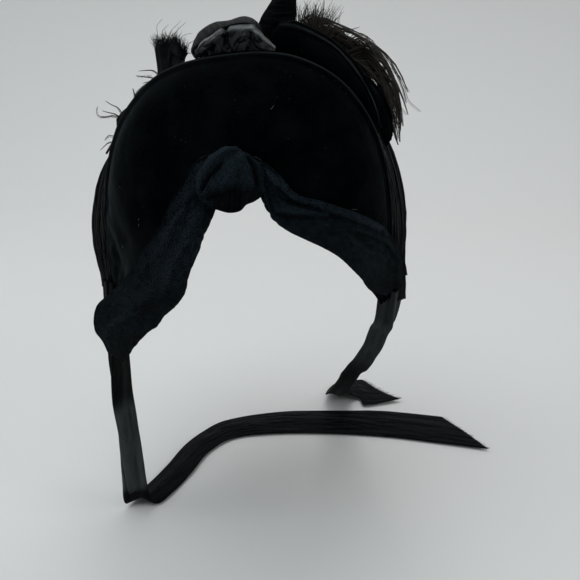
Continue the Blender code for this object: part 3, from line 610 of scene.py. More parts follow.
brim = {
    "faceAngle": 47.0,
    "dipRight": 3.0,
    "dipLeft": 16.0,
    "wall": 0.0025,
    "rollHeight": 0.0022,
    "gather": 0.0012,
    "gatherTurns": 3.5,
    "rollAt": 0.972,          # the roll's crest, as a share of the way from the face edge
    "rollWidth": 0.026,
    "maxLift": 0.0075,
    "notch": 2.6,             # the velvet is drawn up by this many degrees under the knot
    "notchSide": 0.085,
    "pucker": 0.0016,
}


def faceEdge(side):
    # fan angle of the face edge
    dip = np.where(side > 0, brim["dipRight"], brim["dipLeft"])
    notch = brim["notch"] * hump(side, brim["notchSide"], 0.045)
    return brim["faceAngle"] + notch - dip * ramp(np.abs(side), 0.08, 0.42)


def brimLift(at, side, guide):
    # height of the velvet: at is the share of the way from the face edge to the rolled edge
    gatherShare = ramp(np.abs(side), 0.50, 0.70)
    wave = 0.5 + 0.5 * np.sin(2 * math.pi * brim["gatherTurns"] * at)
    rollShare = 1.0 - 0.75 * ramp(np.abs(side), 0.60, 0.90)
    roll = domed((at - brim["rollAt"]) / brim["rollWidth"])
    lift = brim["wall"] + brim["gather"] * gatherShare * wave * (1 - roll)
    lift = lift + brim["rollHeight"] * rollShare * roll
    # puckers beside the rolled edge at the lower left
    left = ramp(-side, 0.42, 0.56) * (1 - ramp(-side, 0.80, 0.90))
    lift = lift + brim["pucker"] * left * wobble(guide, 0.011, 8) * hump(at, 0.70, 0.30)
    lift = lift + 0.00035 * wobble(guide, 0.020, 1) + 0.00010 * wobble(guide, 0.006, 2)
    # both edges are rounded off
    end = domed(np.clip((at - 0.982) / 0.018, 0, 1))
    start = domed(np.clip((0.012 - at) / 0.012, 0, 1))
    return np.maximum(lift * end * start, 0.0002)


def brimPlace(u, v):
    side = (2 * u - 1) * form["brimSide"]
    face = faceEdge(side)
    angle = face + (crown["edgeAngle"] - face) * v
    guide = formPoint(angle, side, 0.0)
    left = ramp(-side, 0.45, 0.58) * (1 - ramp(-side, 0.80, 0.90))
    angle = angle - 0.8 * left * ramp(v, 0.75, 1.0) * (1 + wobble(guide, 0.016, 9))
    return formPoint(angle, side, brimLift(v, side, guide))


def brimPoint(at, side, extra=0.0):
    # a place on the velvet, for what lies on it
    side = np.asarray(side, float)
    face = faceEdge(side)
    angle = face + (crown["edgeAngle"] - face) * at
    return formPoint(angle, side, brimLift(at, side, formPoint(angle, side, 0.0)) + extra)


piece, u, v = layCloth("velvetBrim", 210, 135, brimPlace, (0.34, 0.11))
side = (2 * u - 1) * form["brimSide"]
angle = faceEdge(side) + (crown["edgeAngle"] - faceEdge(side)) * v
lift = brimLift(v, side, formPoint(angle, side, 0.0))
faceOut(piece)
# painted light: a painted highlight along the roll and on the puckers, and painted sheen on two patches at
# the left
line = hump(v, brim["rollAt"] - 0.004, 0.007) * (0.75 + 0.25 * wobble(points(piece), 0.012, 12))
puckerHighlights = np.maximum(wobble(points(piece), 0.009, 13), 0) * ramp(-side, 0.40, 0.60) * ramp(v, 0.2, 0.5)
napAndPaintedSheen = 0.26 * hump(side, -0.30, 0.20) * ramp(v, 0.72, 0.95)
streak = hump(side, -0.41, 0.035) * ramp(v, 0.15, 0.40) * (1 - ramp(v, 0.8, 0.95))
napAndPaintedSheen = napAndPaintedSheen + 0.30 * streak
paintedLight(piece, 0.85 * line + 0.30 * puckerHighlights + napAndPaintedSheen * (0.8 + 0.4 * wobble(points(piece), 0.006, 14)))
giveWall(piece, brim["maxLift"], share=lift * 0.94 / brim["maxLift"], inside=1)
velvetBrim = finishPiece(piece, [velvet, cotton], ["brim"])
print("brim made")


# Crepe band: two arms that meet under the knot. Each row joins the upper edge to the lower edge.

band = {
    "wall": 0.0018,           # of the solid, and of the crepe drawn here
    "drawnWall": 0.0009,
    "fold": 0.0026,
    "gap": 0.0008,
    "edgeRoll": 0.0006,       # height of the turned edges
    # place along it, upper edge x y z, lower edge x y z, as shares of the half width and the rise
    "right": (
        (0.00, 0.095, -0.600, -0.270, 0.100, -0.620, -0.372, 0.2),
        (0.08, 0.180, -0.600, -0.300, 0.175, -0.620, -0.372, 0.3),
        (0.17, 0.280, -0.610, -0.330, 0.255, -0.650, -0.440, 0.8),
        (0.26, 0.380, -0.620, -0.365, 0.340, -0.660, -0.480, 0.8),
        (0.36, 0.490, -0.590, -0.394, 0.420, -0.645, -0.512, 1.0),
        (0.46, 0.600, -0.540, -0.432, 0.510, -0.605, -0.555, 0.9),
        (0.57, 0.710, -0.450, -0.495, 0.610, -0.540, -0.620, 1.0),
        (0.68, 0.820, -0.330, -0.570, 0.680, -0.470, -0.690, 0.8),
        (0.79, 0.910, -0.220, -0.650, 0.730, -0.385, -0.760, 1.0),
        (0.90, 0.985, -0.130, -0.750, 0.790, -0.290, -0.845, 0.7),
        (1.00, 1.020, -0.075, -0.850, 0.880, -0.160, -0.915, 0.4)),
    "left": (
        (0.00, 0.030, -0.600, -0.270, 0.050, -0.620, -0.400, 0.2),
        (0.07, -0.120, -0.600, -0.300, -0.020, -0.630, -0.420, 0.2),
        (0.14, -0.235, -0.645, -0.370, -0.070, -0.695, -0.480, 0.5),
        (0.24, -0.325, -0.650, -0.480, -0.105, -0.708, -0.550, 0.8),
        (0.34, -0.430, -0.630, -0.580, -0.160, -0.727, -0.630, 0.6),
        (0.45, -0.520, -0.598, -0.665, -0.200, -0.712, -0.715, 0.7),
        (0.56, -0.615, -0.560, -0.738, -0.270, -0.692, -0.775, 0.8),
        (0.66, -0.725, -0.512, -0.812, -0.340, -0.657, -0.826, 0.6),
        (0.75, -0.825, -0.463, -0.876, -0.395, -0.636, -0.880, 0.5),
        (0.83, -0.880, -0.428, -0.945, -0.478, -0.605, -0.930, 0.6),
        (0.90, -0.892, -0.414, -1.014, -0.575, -0.560, -1.008, 0.5),
        (0.96, -0.845, -0.420, -1.066, -0.636, -0.530, -1.064, 0.4),
        (1.00, -0.815, -0.434, -1.104, -0.700, -0.500, -1.112, 0.2)),
    "rightSize": (0.135, 0.036),
    "leftSize": (0.135, 0.042),
}


def layerLift(angle, side):
    # what a piece must clear where it lies on the brim or on the crown
    under = brim["wall"] + brim["gather"] * ramp(np.abs(side), 0.50, 0.70)
    under = under + brim["rollHeight"] * ramp(angle, 63.0, 70.0)
    over = crown["wall"] + crown["pleatDepth"] * pleatShare(side)
    return under + np.maximum(over - under, 0) * ramp(angle, 65.0, 73.0) + band["gap"]


def settle(places):
    # lifts what would sink into the velvet or the silk onto it
    offset = places - earMiddle
    forward, up = -offset[:, 1], offset[:, 2]
    out = np.hypot(forward, up)
    angle = np.degrees(np.arctan2(up, forward))
    side = np.degrees(np.arctan2(offset[:, 0], out)) / 90.0
    floor = formPoint(angle, side, layerLift(angle, side))
    high = np.linalg.norm(offset, axis=1) >= np.linalg.norm(floor - earMiddle, axis=1)
    return np.where((high | (up <= 0))[:, None], places, floor)


def bandPlace(rows):
    scale = np.array((form["halfWidth"], form["rise"], form["rise"]))

    def place(u, v):
        row = readRows(rows, u)
        upper, lower = row[:, 1:4] * scale, row[:, 4:7] * scale
        lying = settle(upper + (lower - upper) * v[:, None])
        outward = lying - earMiddle
        outward = outward / np.linalg.norm(outward, axis=1)[:, None]
        return lying + outward * 0.0014
    return place


def softFolds(flat, folds):
    # the highest fold wins at each point, and then the grooves are pressed in
    heights = np.zeros(len(flat))
    for fold in folds:
        if fold[2] > 0:
            heights = np.maximum(heights, creased(flat, *fold))
    for fold in folds:
        if fold[2] < 0:
            heights = heights + creased(flat, *fold)
    return heights


# line on the flat cloth in millimetres, width, height and steepness of each fold
rightFolds = (
    (((92, 4), (80, 4), (68, 4.5), (52, 5), (38, 5), (27, 6), (15, 10)), 5.0, 3.2, 0.25),
    (((70, 7), (52, 8), (38, 8.5), (27, 10)), 3.5, -1.4, 0.8),
    (((60, 8), (50, 11), (40, 16), (31, 22), (22, 31)), 7.0, 2.0, 0.14),
    (((60, 12), (48, 16), (38, 21), (29, 27)), 2.0, -1.0, 0.9),
    (((24, 36), (18, 29), (14, 22), (10, 10), (9, 2)), 5.0, 2.4, 0.25),
    (((28, 36), (21, 29), (17, 22), (13, 10), (12, 3)), 2.2, -1.8, 0.9),
    (((122, 7), (104, 6), (87, 9), (72, 11)), 3.4, 2.0, 0.18),
    (((114, 15), (100, 18), (86, 19.5), (73, 20)), 3.2, 1.6, 0.20),
    (((122, 11), (110, 12), (96, 13), (84, 15)), 2.6, 1.0, 0.25),
    (((112, 21), (98, 24), (84, 25.5)), 5.0, 0.9, 0.5),
)
leftFolds = (
    (((54, 10), (40, 12), (28, 11), (16, 15)), 6.0, 1.1, 0.5),
    (((60, 30), (44, 28), (30, 30), (16, 28)), 6.0, 1.2, 0.4),
    (((132, 12), (118, 15), (104, 22), (92, 24)), 6.0, 1.0, 0.45),
    (((98, 8), (84, 12), (70, 12)), 7.0, 0.8, 0.6),
    (((30, 6), (22, 10), (15, 18)), 2.0, -1.2, 0.9),
)


def bandHeights(u, v, size, folds, seed):
    # height of the crepe, and its painted light: lighter on fold crests and crimps and near the knot, darker
    # towards the ear
    flat = flatPlaces(u, v, size)
    folded = softFolds(flat, folds)
    long = np.stack((flat[:, 0] * 0.35, flat[:, 1], flat[:, 0] * 0), axis=1) / 1000
    fine = np.stack((flat[:, 0], flat[:, 1], flat[:, 0] * 0), axis=1) / 1000
    crimped = wobble(fine, 0.0024, seed + 1)
    lift = 0.001 * folded + 0.0007 * wobble(long, 0.009, seed) + 0.00022 * crimped
    edge = np.minimum(v, 1 - v) * size[1]
    crest = 0.42 + 0.12 * (1 - ramp(u, 0.35, 0.5)) - 0.20 * ramp(u, 0.55, 0.95) + 0.20 * folded
    crest = crest + 0.20 * wobble(long, 0.009, seed) + 0.24 * crimped
    lift = lift * (1 - 0.8 * ramp(u, 0.90, 1.0))
    return lift + band["edgeRoll"] * hump(edge, 0.0, 0.0012), crest


for name, half, folds, seed, paler in (("crepeRight", "right", rightFolds, 11, 0.0),
                                       ("crepeLeft", "left", leftFolds, 21, -0.10)):
    size = band[half + "Size"]
    piece, u, v = layCloth(name, 290, 104, bandPlace(band[half]), size)
    faceOut(piece)
    lift, crest = bandHeights(u, v, size, folds, seed)
    pressOut(piece, lift)
    # painted light, a little darker all over on the left arm
    paintedLight(piece, crest + paler)
    giveWall(piece, band["drawnWall"])
    finishPiece(piece, [crepe], ["crepe_band_" + half])
print("crepe band made")


# Knot: the band's ends pulled into gathers, with a rolled lobe at the upper left

knot = {
    "angle": 49.6,
    "side": 0.026,
    "halfSide": 0.086,
    "halfAngle": 5.6,
    "height": 0.0090,
    "baseLift": brim["wall"] + band["gap"] + band["wall"] + band["fold"] * 0.65 + band["gap"],
    "edge": (
        (0, 0.92), (20, 0.94), (42, 0.84), (62, 0.80), (80, 0.85), (100, 0.92), (125, 0.88),
        (150, 0.90), (180, 1.00), (205, 1.05), (225, 0.97), (250, 0.94), (270, 0.98), (290, 0.96),
        (306, 0.84), (322, 0.90), (342, 0.98), (360, 0.92)),
    # line across the knot in millimetres, width, height and steepness of each fold
    "folds": (
        (((-18, -6), (-12.5, 1.8), (-7.5, 6.4), (-0.5, 9.3), (6, 15)), 7.0, 0.36, 0.14),
        (((-17, -12), (-4, -7), (4.6, 3.2), (10, 9)), 7.0, 0.30, 0.22),
        (((13, -12), (12.5, -3), (10, 7), (8, 14)), 6.0, 0.24, 0.20),
        (((-14, -14), (-6, -11), (1, -4), (5, 0)), 3.0, 0.10, 0.3)),
    "creases": (
        ((-16, -6), (-11, 1), (-5.5, 6.5), (2.5, 12.5)), ((9.5, 13), (12.5, 7), (15, 1), (16.5, -5)),
        ((-15, -10.5), (-9, -9.5), (-4, -8))),
    "gathers": (
        ((-0.5, -18), (1.3, -6)), ((2.9, -18), (4.6, -5)), ((6.5, -17.5), (8.2, -3)),
        ((10, -16), (11.6, -4)), ((13, -14), (14.7, -1))),
}


def knotShape(u, v):
    # the first quarter of the cloth is the flat underside, and the rest is the puffed top
    turn = 2 * math.pi * u
    ring = np.where(v < 0.25, v / 0.25, (1 - v) / 0.75)
    across, up = ring * np.cos(turn), ring * np.sin(turn)
    dome = np.sqrt(np.clip(1 - ring ** 4, 0, 1))
    flat = np.stack((across * 20, up * 18), axis=1)
    folds = sum(creased(flat, *fold, fade=2.0) for fold in knot["folds"])
    pulled = sum(creased(flat, line, 0.9, 0.13, 0.9, 2.0) for line in knot["gathers"])
    pulled = pulled + sum(creased(flat, line, 1.4, 0.30, 0.9, 2.0) for line in knot["creases"])
    # fullest below the middle, so that the lower third turns away from the light
    belly = np.where(up > -0.25, 1 - 0.45 * ((up + 0.25) / 1.25) ** 2, 1 - 0.9 * ((up + 0.25) / 0.75) ** 2)
    fine = np.stack((across * 0.02, up * 0.018, across * 0), axis=1)
    crimped = 0.05 * wobble(fine, 0.0032, 6) + 0.03 * wobble(fine, 0.0015, 7)
    shape = dome * 0.62 * belly + (folds - pulled) * (1 - ring ** 6) + crimped
    # painted light and shade: lighter on the upper part and on fold crests and crimps, painted shade in the
    # creases and gathers
    crest = 0.12 + 0.50 * ramp(up, -0.50, -0.10) + 1.5 * (folds - 1.4 * pulled) + 3.6 * crimped
    return turn, ring, shape, crest


def knotPlace(u, v):
    turn, ring, shape, crest = knotShape(u, v)
    reach = readRows(knot["edge"], np.degrees(turn))[:, 1] * ring
    rise = np.where(v < 0.25, 0.0, knot["height"] * np.maximum(shape, 0.10 * (1 - ring) + 0.04))
    return formPoint(knot["angle"] + knot["halfAngle"] * reach * np.sin(turn),
                     knot["side"] + knot["halfSide"] * reach * np.cos(turn), knot["baseLift"] + rise)


piece, u, v = layCloth("crepeKnot", 240, 130, knotPlace, (0.11, 0.045))
paintedLight(piece, knotShape(u, v)[3])
alone(piece)
bpy.ops.object.mode_set(mode="EDIT")
bpy.ops.mesh.select_all(action="SELECT")
bpy.ops.mesh.remove_doubles(threshold=0.00001)
bpy.ops.mesh.normals_make_consistent(inside=False)
bpy.ops.object.mode_set(mode="OBJECT")
crepeKnot = finishPiece(piece, [crepe], ["crepe_knot"])
print("knot made")


# Loops and folds on top. Angles are fan angles, sides are shares of a quarter turn, lifts and
# heights are shares of the trimming's height above the crown.

trim = {
    "height": 0.040,
    "ribbonWall": 0.0007,
    "velvetWall": 0.0016,
    # place along it, edge A angle side lift, edge B angle side lift, puff
    "bowLoop": (
        (0.00, 75.6, -0.078, 0.020, 86.0, -0.098, 0.020, 0.00),
        (0.10, 75.6, -0.080, 0.110, 86.0, -0.103, 0.170, 0.05),
        (0.22, 75.6, -0.058, 0.200, 86.0, -0.083, 0.330, 0.09),
        (0.35, 75.6, -0.030, 0.290, 86.0, -0.052, 0.390, 0.10),
        (0.50, 75.8, -0.002, 0.350, 86.0, -0.012, 0.375, 0.08),
        (0.63, 76.0, 0.022, 0.360, 86.0, 0.018, 0.400, 0.08),
        (0.75, 76.0, 0.038, 0.320, 86.0, 0.036, 0.335, 0.06),
        (0.88, 75.8, 0.050, 0.190, 86.0, 0.048, 0.180, 0.04),
        (1.00, 75.6, 0.056, 0.020, 86.0, 0.054, 0.020, 0.00)),
    "ribbonEnd": (
        (0.00, 76.6, -0.110, -0.015, 79.0, -0.106, 0.110, 0.00),
        (0.30, 75.8, -0.124, -0.015, 78.2, -0.116, 0.260, 0.06),
        (0.60, 77.0, -0.144, -0.015, 78.8, -0.134, 0.320, -0.05),
        (0.85, 75.6, -0.160, -0.015, 77.6, -0.150, 0.350, 0.04),
        (1.00, 76.0, -0.172, -0.015, 77.8, -0.164, 0.330, 0.00)),
    "ribbonTip": (
        (0.00, 78.0, -0.282, 0.030, 83.5, -0.280, 0.030, 0.04),
        (0.50, 78.2, -0.320, 0.080, 83.0, -0.314, 0.120, 0.04),
        (1.00, 79.0, -0.356, 0.060, 81.5, -0.348, 0.150, 0.00)),
    "tallLoop": (
        (0.00, 87.6, 0.042, 0.020, 87.6, 0.092, 0.020, 0.00),
        (0.14, 87.4, 0.030, 0.250, 87.4, 0.103, 0.250, -0.08),
        (0.26, 87.0, 0.038, 0.480, 87.0, 0.108, 0.480, -0.10),
        (0.38, 86.8, 0.058, 0.700, 86.8, 0.104, 0.740, -0.08),
        (0.47, 87.4, 0.068, 0.860, 87.4, 0.096, 0.930, -0.04),
        (0.53, 88.8, 0.068, 0.860, 88.8, 0.096, 0.930, 0.04),
        (0.64, 90.4, 0.058, 0.660, 90.4, 0.102, 0.700, 0.08),
        (0.80, 91.0, 0.042, 0.350, 91.0, 0.104, 0.350, 0.08),
        (1.00, 90.6, 0.044, 0.020, 90.6, 0.092, 0.020, 0.00)),
    # long threads of the ribbon end: places across and out from the ears' line, in millimetres
    "endThreads": (
        ((-42, 160), (-41.5, 168.9), (-41.1, 173.4), (-37.7, 176.9)),
        ((-39.5, 162), (-38.9, 169.9), (-36.7, 172.4), (-34.9, 174.0)),
        ((-36, 163), (-34.5, 169.9), (-30.7, 173.5), (-27.9, 176.1)),
        ((-35, 162), (-32.3, 168.9), (-28.7, 172.5), (-25.5, 175.1)),
        ((-37, 163), (-34, 168), (-31, 170.5), (-29.4, 173.0)),
        ((-31, 161), (-29, 167), (-26, 169), (-22.6, 169.6)),
        ((-28, 159), (-25, 164), (-22, 166), (-20.4, 168.2))),
    # side, front foot, back foot, height, lean of the crest
    "bowLining": (
        (-0.074, 74.6, 80.0, 0.09, -0.5), (-0.062, 74.6, 81.0, 0.19, -0.7),
        (-0.040, 74.6, 82.0, 0.27, -0.7), (-0.018, 74.6, 82.0, 0.33, -0.7),
        (0.004, 74.6, 82.0, 0.345, -0.7), (0.022, 74.6, 82.0, 0.34, -0.7),
        (0.040, 74.4, 81.5, 0.32, -0.8), (0.052, 74.2, 80.0, 0.25, -0.8),
        (0.066, 74.2, 79.0, 0.16, -0.7), (0.088, 74.2, 77.6, 0.05, -0.6)),
    "liningSize": (0.052, 0.040),
    # share of the cloth, way from the front foot to the back foot, share of the height
    "liningProfile": (
        (0.00, 0.00, 0.00), (0.10, -0.02, 0.34), (0.22, 0.00, 0.70), (0.30, 0.03, 0.84),
        (0.42, 0.22, 1.00), (0.55, 0.45, 1.00), (0.80, 0.90, 0.60), (1.00, 1.00, 0.00)),
    # line on the flat satin in millimetres, width, height and steepness of each crease
    "liningFolds": (
        (((21, 22), (20.5, 12), (21.5, 0)), 1.6, -1.9, 0.9),
        (((52, 9), (44, 12), (38, 12), (22, 11.5)), 1.8, 0.8, 0.25),
        (((21, 11), (15, 9), (9, 8), (3, 5)), 1.6, 0.9, 0.30),
        (((36, 0), (38, 6), (37, 12)), 1.5, -0.9, 0.9),
        (((52, 5), (46, 7), (40, 9)), 1.0, -0.8, 0.9),
        (((3, 2), (7, 5), (12, 4)), 1.5, 1.0, 0.4),
        (((10, 0), (13, 4), (17, 5)), 1.4, -0.9, 0.8),
        (((5, 9), (9, 5), (10, 1)), 1.2, -0.8, 0.8)),
    # side, front foot, back foot, height, lean of the crest
    "velvetFold": (
        (0.078, 75.0, 81.0, 0.24, 0.0), (0.092, 75.0, 83.5, 0.36, 0.2),
        (0.130, 75.0, 84.8, 0.35, 0.3), (0.175, 75.0, 84.8, 0.31, 0.3),
        (0.220, 75.0, 84.8, 0.25, 0.3), (0.265, 75.0, 84.4, 0.20, 0.3),
        (0.315, 75.0, 83.0, 0.14, 0.1), (0.365, 75.2, 79.6, 0.06, 0.0)),
    "velvetLobe": (
        (0.205, 86.0, 91.0, 0.11, 0.0), (0.230, 86.0, 95.0, 0.17, 0.1),
        (0.270, 86.0, 96.5, 0.21, 0.1), (0.315, 86.0, 96.5, 0.24, 0.0),
        (0.360, 86.0, 95.5, 0.23, 0.0), (0.405, 86.2, 93.5, 0.17, 0.0),
        (0.435, 86.6, 91.0, 0.08, 0.0)),
}


def stripPlace(rows):
    # a strip between two edges, puffed out between them
    def edges(u):
        row = readRows(rows, u)
        base = seat(row[:, 2]) + trim["ribbonWall"] / 2, seat(row[:, 5]) + trim["ribbonWall"] / 2
        edgeA = formPoint(row[:, 1], row[:, 2], base[0] + row[:, 3] * trim["height"])
        edgeB = formPoint(row[:, 4], row[:, 5], base[1] + row[:, 6] * trim["height"])
        return edgeA, edgeB, row[:, 7] * trim["height"]

    def place(u, v):
        edgeA, edgeB, puff = edges(u)
        ahead = edges(np.minimum(u + 0.01, 1))[0] - edges(np.maximum(u - 0.01, 0))[0]
        normal = np.cross(ahead, edgeB - edgeA)
        normal = normal / np.linalg.norm(normal, axis=1)[:, None]
        bulge = (puff * np.sin(math.pi * v))[:, None]
        return edgeA + (edgeB - edgeA) * v[:, None] + normal * bulge
    return place


def hoodPlace(rows):
    # an arched loop, open underneath
    start, end = rows[0][0], rows[-1][0]

    def place(u, v):
        side = start + (end - start) * u
        row = readRows(rows, side)
        middle, half = (row[:, 1] + row[:, 2]) / 2, (row[:, 2] - row[:, 1]) / 2
        turn = math.pi * v
        swing = -half * np.cos(turn) + row[:, 4] * half * np.sin(turn)
        high = np.maximum(row[:, 3] * trim["height"], 0.003) * np.abs(np.sin(turn)) ** 0.8
        return formPoint(middle + swing, side, seat(side) + high)
    return place


def fanStrand(angle, line, girth, steps=9):
    # a strand through places in one fan plane: across and out from the ears' line, in millimetres
    line = np.asarray(line, float) / 1000
    keyed = np.c_[np.linspace(0, 1, len(line)), line]
    read = readRows(keyed, np.linspace(0, 1, steps))
    fan = math.radians(angle)
    places = np.stack((read[:, 1], -form["earForward"] - read[:, 2] * math.cos(fan),
                       -form["rise"] + read[:, 2] * math.sin(fan)), axis=1)
    return places, girth * (1 - 0.6 * np.linspace(0, 1, steps))


def ruffled(u, v, size, seed, coarse, fine):
    # small uneven heights of handled cloth
    places = np.stack((u * size[0], v * size[1], u * 0), axis=1)
    return coarse * wobble(places, 0.009, seed) + fine * wobble(places, 0.003, seed + 1)


def edgeThreads(place, v, spread, count, low, high, lean, girth=0.00011):
    # threads that stand out of a frayed edge of a strip
    made = []
    for i in range(count):
        t = spread[0] + (spread[1] - spread[0]) * (i + chance.random()) / count
        start = place(np.array((t,)), np.array((v,)))[0]
        under = place(np.array((t,)), np.array((abs(v - 0.12),)))[0]
        aim = (start - under) / np.linalg.norm(start - under)
        aim = aim + np.array([chance.uniform(-lean, lean) for _ in range(3)])
        length = chance.uniform(low, high) * (0.6 + 0.4 * chance.random())
        made.append(bendStrand(start - aim * 0.001, aim, length, (0.0, 0.0, -0.15), 0.10, girth, 6))
    return made


def trimPiece(name, node, grid, size, place, ruffles, folds=(), slotName="ribbon", materials=(darkRibbon,),
              awayFrom=None, offset=0.0, inside=0, extra=None):
    # one loop or ribbon end; ruffles are a seed and two heights, extra is more lift by place
    piece, u, v = layCloth(name, *grid, place, size)
    faceOut(piece, awayFrom)
    lift = ruffled(u, v, size, *ruffles) + 0.001 * softFolds(flatPlaces(u, v, size), folds)
    pressOut(piece, lift if extra is None else lift + extra(u, v))
    giveWall(piece, trim[slotName + "Wall"], offset=offset, inside=inside)
    return finishPiece(piece, list(materials), [node])


def satinPlace(u, v):
    # a box-like puff: an upright front with a crumpled strip along the top that leans back
    rows = trim["bowLining"]
    side = rows[0][0] + (rows[-1][0] - rows[0][0]) * u
    row = readRows(rows, side)
    cross = readRows(trim["liningProfile"], v)
    high = np.maximum(row[:, 3] * trim["height"], 0.002) * cross[:, 2]
    return formPoint(row[:, 1] + (row[:, 2] - row[:, 1]) * cross[:, 1], side, seat(side) + high)


def turnedEdge(u, v):
    # the bow's front edge is turned in
    return -0.0006 * hump(v, 0.0, 0.06)


# its inner face takes the darker ribbon: painted shade inside the loop
bowLoop = trimPiece("bowLoop", "bow_loop", (150, 50), (0.075, 0.028), stripPlace(trim["bowLoop"]),
                    (31, 0.0004, 0.0001), materials=(ribbon, darkRibbon), awayFrom=(0.0, -0.04, 0.0),
                    inside=1, extra=turnedEdge)

sizeLining = trim["liningSize"]
piece, u, v = layCloth("bowLining", 160, 110, satinPlace, sizeLining)
faceOut(piece)
flat = flatPlaces(u, v, sizeLining)
folded = softFolds(flat, trim["liningFolds"])
# most crumpled at its left end
left = 1 - ramp(flat[:, 0], 12.0, 22.0)
pressOut(piece, 0.001 * folded + ruffled(u, v, sizeLining, 33, 0.0004, 0.0002) * (0.4 + 1.4 * left))
# painted highlight: bright along the top strip, at the right end and on the fold crests
top = hump(flat[:, 1], 13.5, 3.2) + 0.6 * ramp(flat[:, 0], 42.0, 46.0)
paintedLight(piece, 0.05 + 0.75 * top + 0.25 * folded)
giveWall(piece, trim["ribbonWall"])
bowLining = finishPiece(piece, [satin], ["bow_lining"])

endPlace = stripPlace(trim["ribbonEnd"])
ribbonEnd = trimPiece("ribbonEnd", "ribbon_end", (60, 40), (0.026, 0.016), endPlace, (35, 0.0003, 0.0001),
                      ((((4, 0), (9, 7), (16, 14)), 3.0, 1.2),), materials=(ribbon,),
                      awayFrom=(0.0, 0.05, 0.0))
threads = edgeThreads(endPlace, 1.0, (0.0, 1.0), 420, 0.0045, 0.0100, 0.42, 0.00016)
for line in trim["endThreads"]:
    threads.append(fanStrand(79.0, line, 0.00016))
endFringe = drawStrands("endFringe", threads, frayThread)

ribbonTip = trimPiece("ribbonTip", "ribbon_tip", (40, 30), (0.016, 0.010), stripPlace(trim["ribbonTip"]),
                      (37, 0.0002, 0.0001))
tallLoop = trimPiece("tallLoop", "tall_loop", (170, 40), (0.085, 0.018), stripPlace(trim["tallLoop"]),
                     (39, 0.0004, 0.0001), awayFrom=(0.02, 0.0, 0.02))
velvetFold = trimPiece("velvetFold", "velvet_fold", (150, 100), (0.062, 0.050),
                       hoodPlace(trim["velvetFold"]), (41, 0.0005, 0.0001),
                       ((((4, 22), (30, 26), (58, 24)), 5.0, 1.6),
                        (((2, 12), (28, 14), (56, 10)), 4.0, 1.0)),
                       "velvet", (velvet,), offset=-1.0)
velvetLobe = trimPiece("velvetLobe", "velvet_lobe", (120, 96), (0.045, 0.055),
                       hoodPlace(trim["velvetLobe"]), (43, 0.0005, 0.0001),
                       ((((6, 10), (22, 20), (40, 18)), 4.0, 1.8),),
                       "velvet", (velvet,), offset=-1.0)
print("loops made")


# Feathers: barbs that rise from a quill on the crown, sweep to the right and droop

plume = {
    "length": 0.046,
    "quillGirth": 0.0022,
    "locks": 104,
    "barbsEach": 8,
    "tuft": 62,
    # place along the quill, root angle and side, tip angle and side, height of the tip
    "rows": (
        (0.00, 93.5, 0.095, 90.5, 0.122, 0.50), (0.11, 94.5, 0.112, 92.5, 0.148, 0.50),
        (0.22, 96.0, 0.130, 95.0, 0.185, 0.47), (0.33, 97.5, 0.160, 98.0, 0.230, 0.45),
        (0.44, 98.5, 0.195, 100.5, 0.275, 0.45), (0.56, 99.0, 0.230, 98.0, 0.315, 0.43),
        (0.67, 99.5, 0.265, 102.0, 0.355, 0.43), (0.78, 99.5, 0.300, 99.0, 0.395, 0.36),
        (0.89, 99.5, 0.335, 102.0, 0.430, 0.26), (1.00, 99.5, 0.360, 99.5, 0.455, 0.11)),
    # single strands, as places across and out from the ears' line in millimetres
    "strays": (
        (95, ((84, 150), (91.9, 136.9), (95.2, 128.7), (102.7, 122.5))),
        (96, ((85, 138), (90.2, 126.0), (95.1, 120.4))), (94, ((52, 164), (57.5, 167.0), (64.9, 169.2))),
        (94, ((41, 168), (43.7, 176.7), (44.4, 183.7))),
        (94, ((40, 168), (42, 177), (45, 178), (48.2, 168.1))),
        (95, ((75.5, 152.9), (83.0, 147.4), (89.3, 142.1), (95.4, 133.5))),
        (96, ((64, 160), (70, 163.5), (75, 159), (80.2, 150.7))),
        (95, ((60, 163), (66, 165.5), (72, 162), (76.5, 154.6))),
        (94, ((58, 162), (63, 165.8), (68.5, 164.5), (74, 158)))),
    "left": (
        ((-47, 141), (-51.7, 145.6), (-56.1, 146.0), (-60.6, 145.5)),
        ((-47, 140), (-51.3, 141.7), (-56.6, 142.4), (-61.9, 143.0)),
        ((-47, 139), (-50.2, 141.4), (-54.4, 140.0), (-58.7, 138.8)),
        ((-62, 130), (-64.2, 131.9), (-64.6, 134.0), (-65.0, 135.7)),
        ((-73, 121), (-75.3, 124.8), (-78.8, 126.4), (-82.0, 128.6)),
        ((-74, 118), (-77.3, 120.6), (-81.2, 121.6), (-84.8, 122.7)),
        ((-74, 117), (-77.9, 119.6), (-84.7, 118.6), (-87.9, 119.5), (-88.5, 122.4), (-87.7, 124.9)),
        ((-79, 107), (-82.5, 107.7), (-84.3, 106.6), (-85.8, 105.1)),
        ((-80, 104), (-83.8, 103.3), (-86.8, 101.1), (-89.2, 98.9))),
    "leftAngle": 86.0,
}


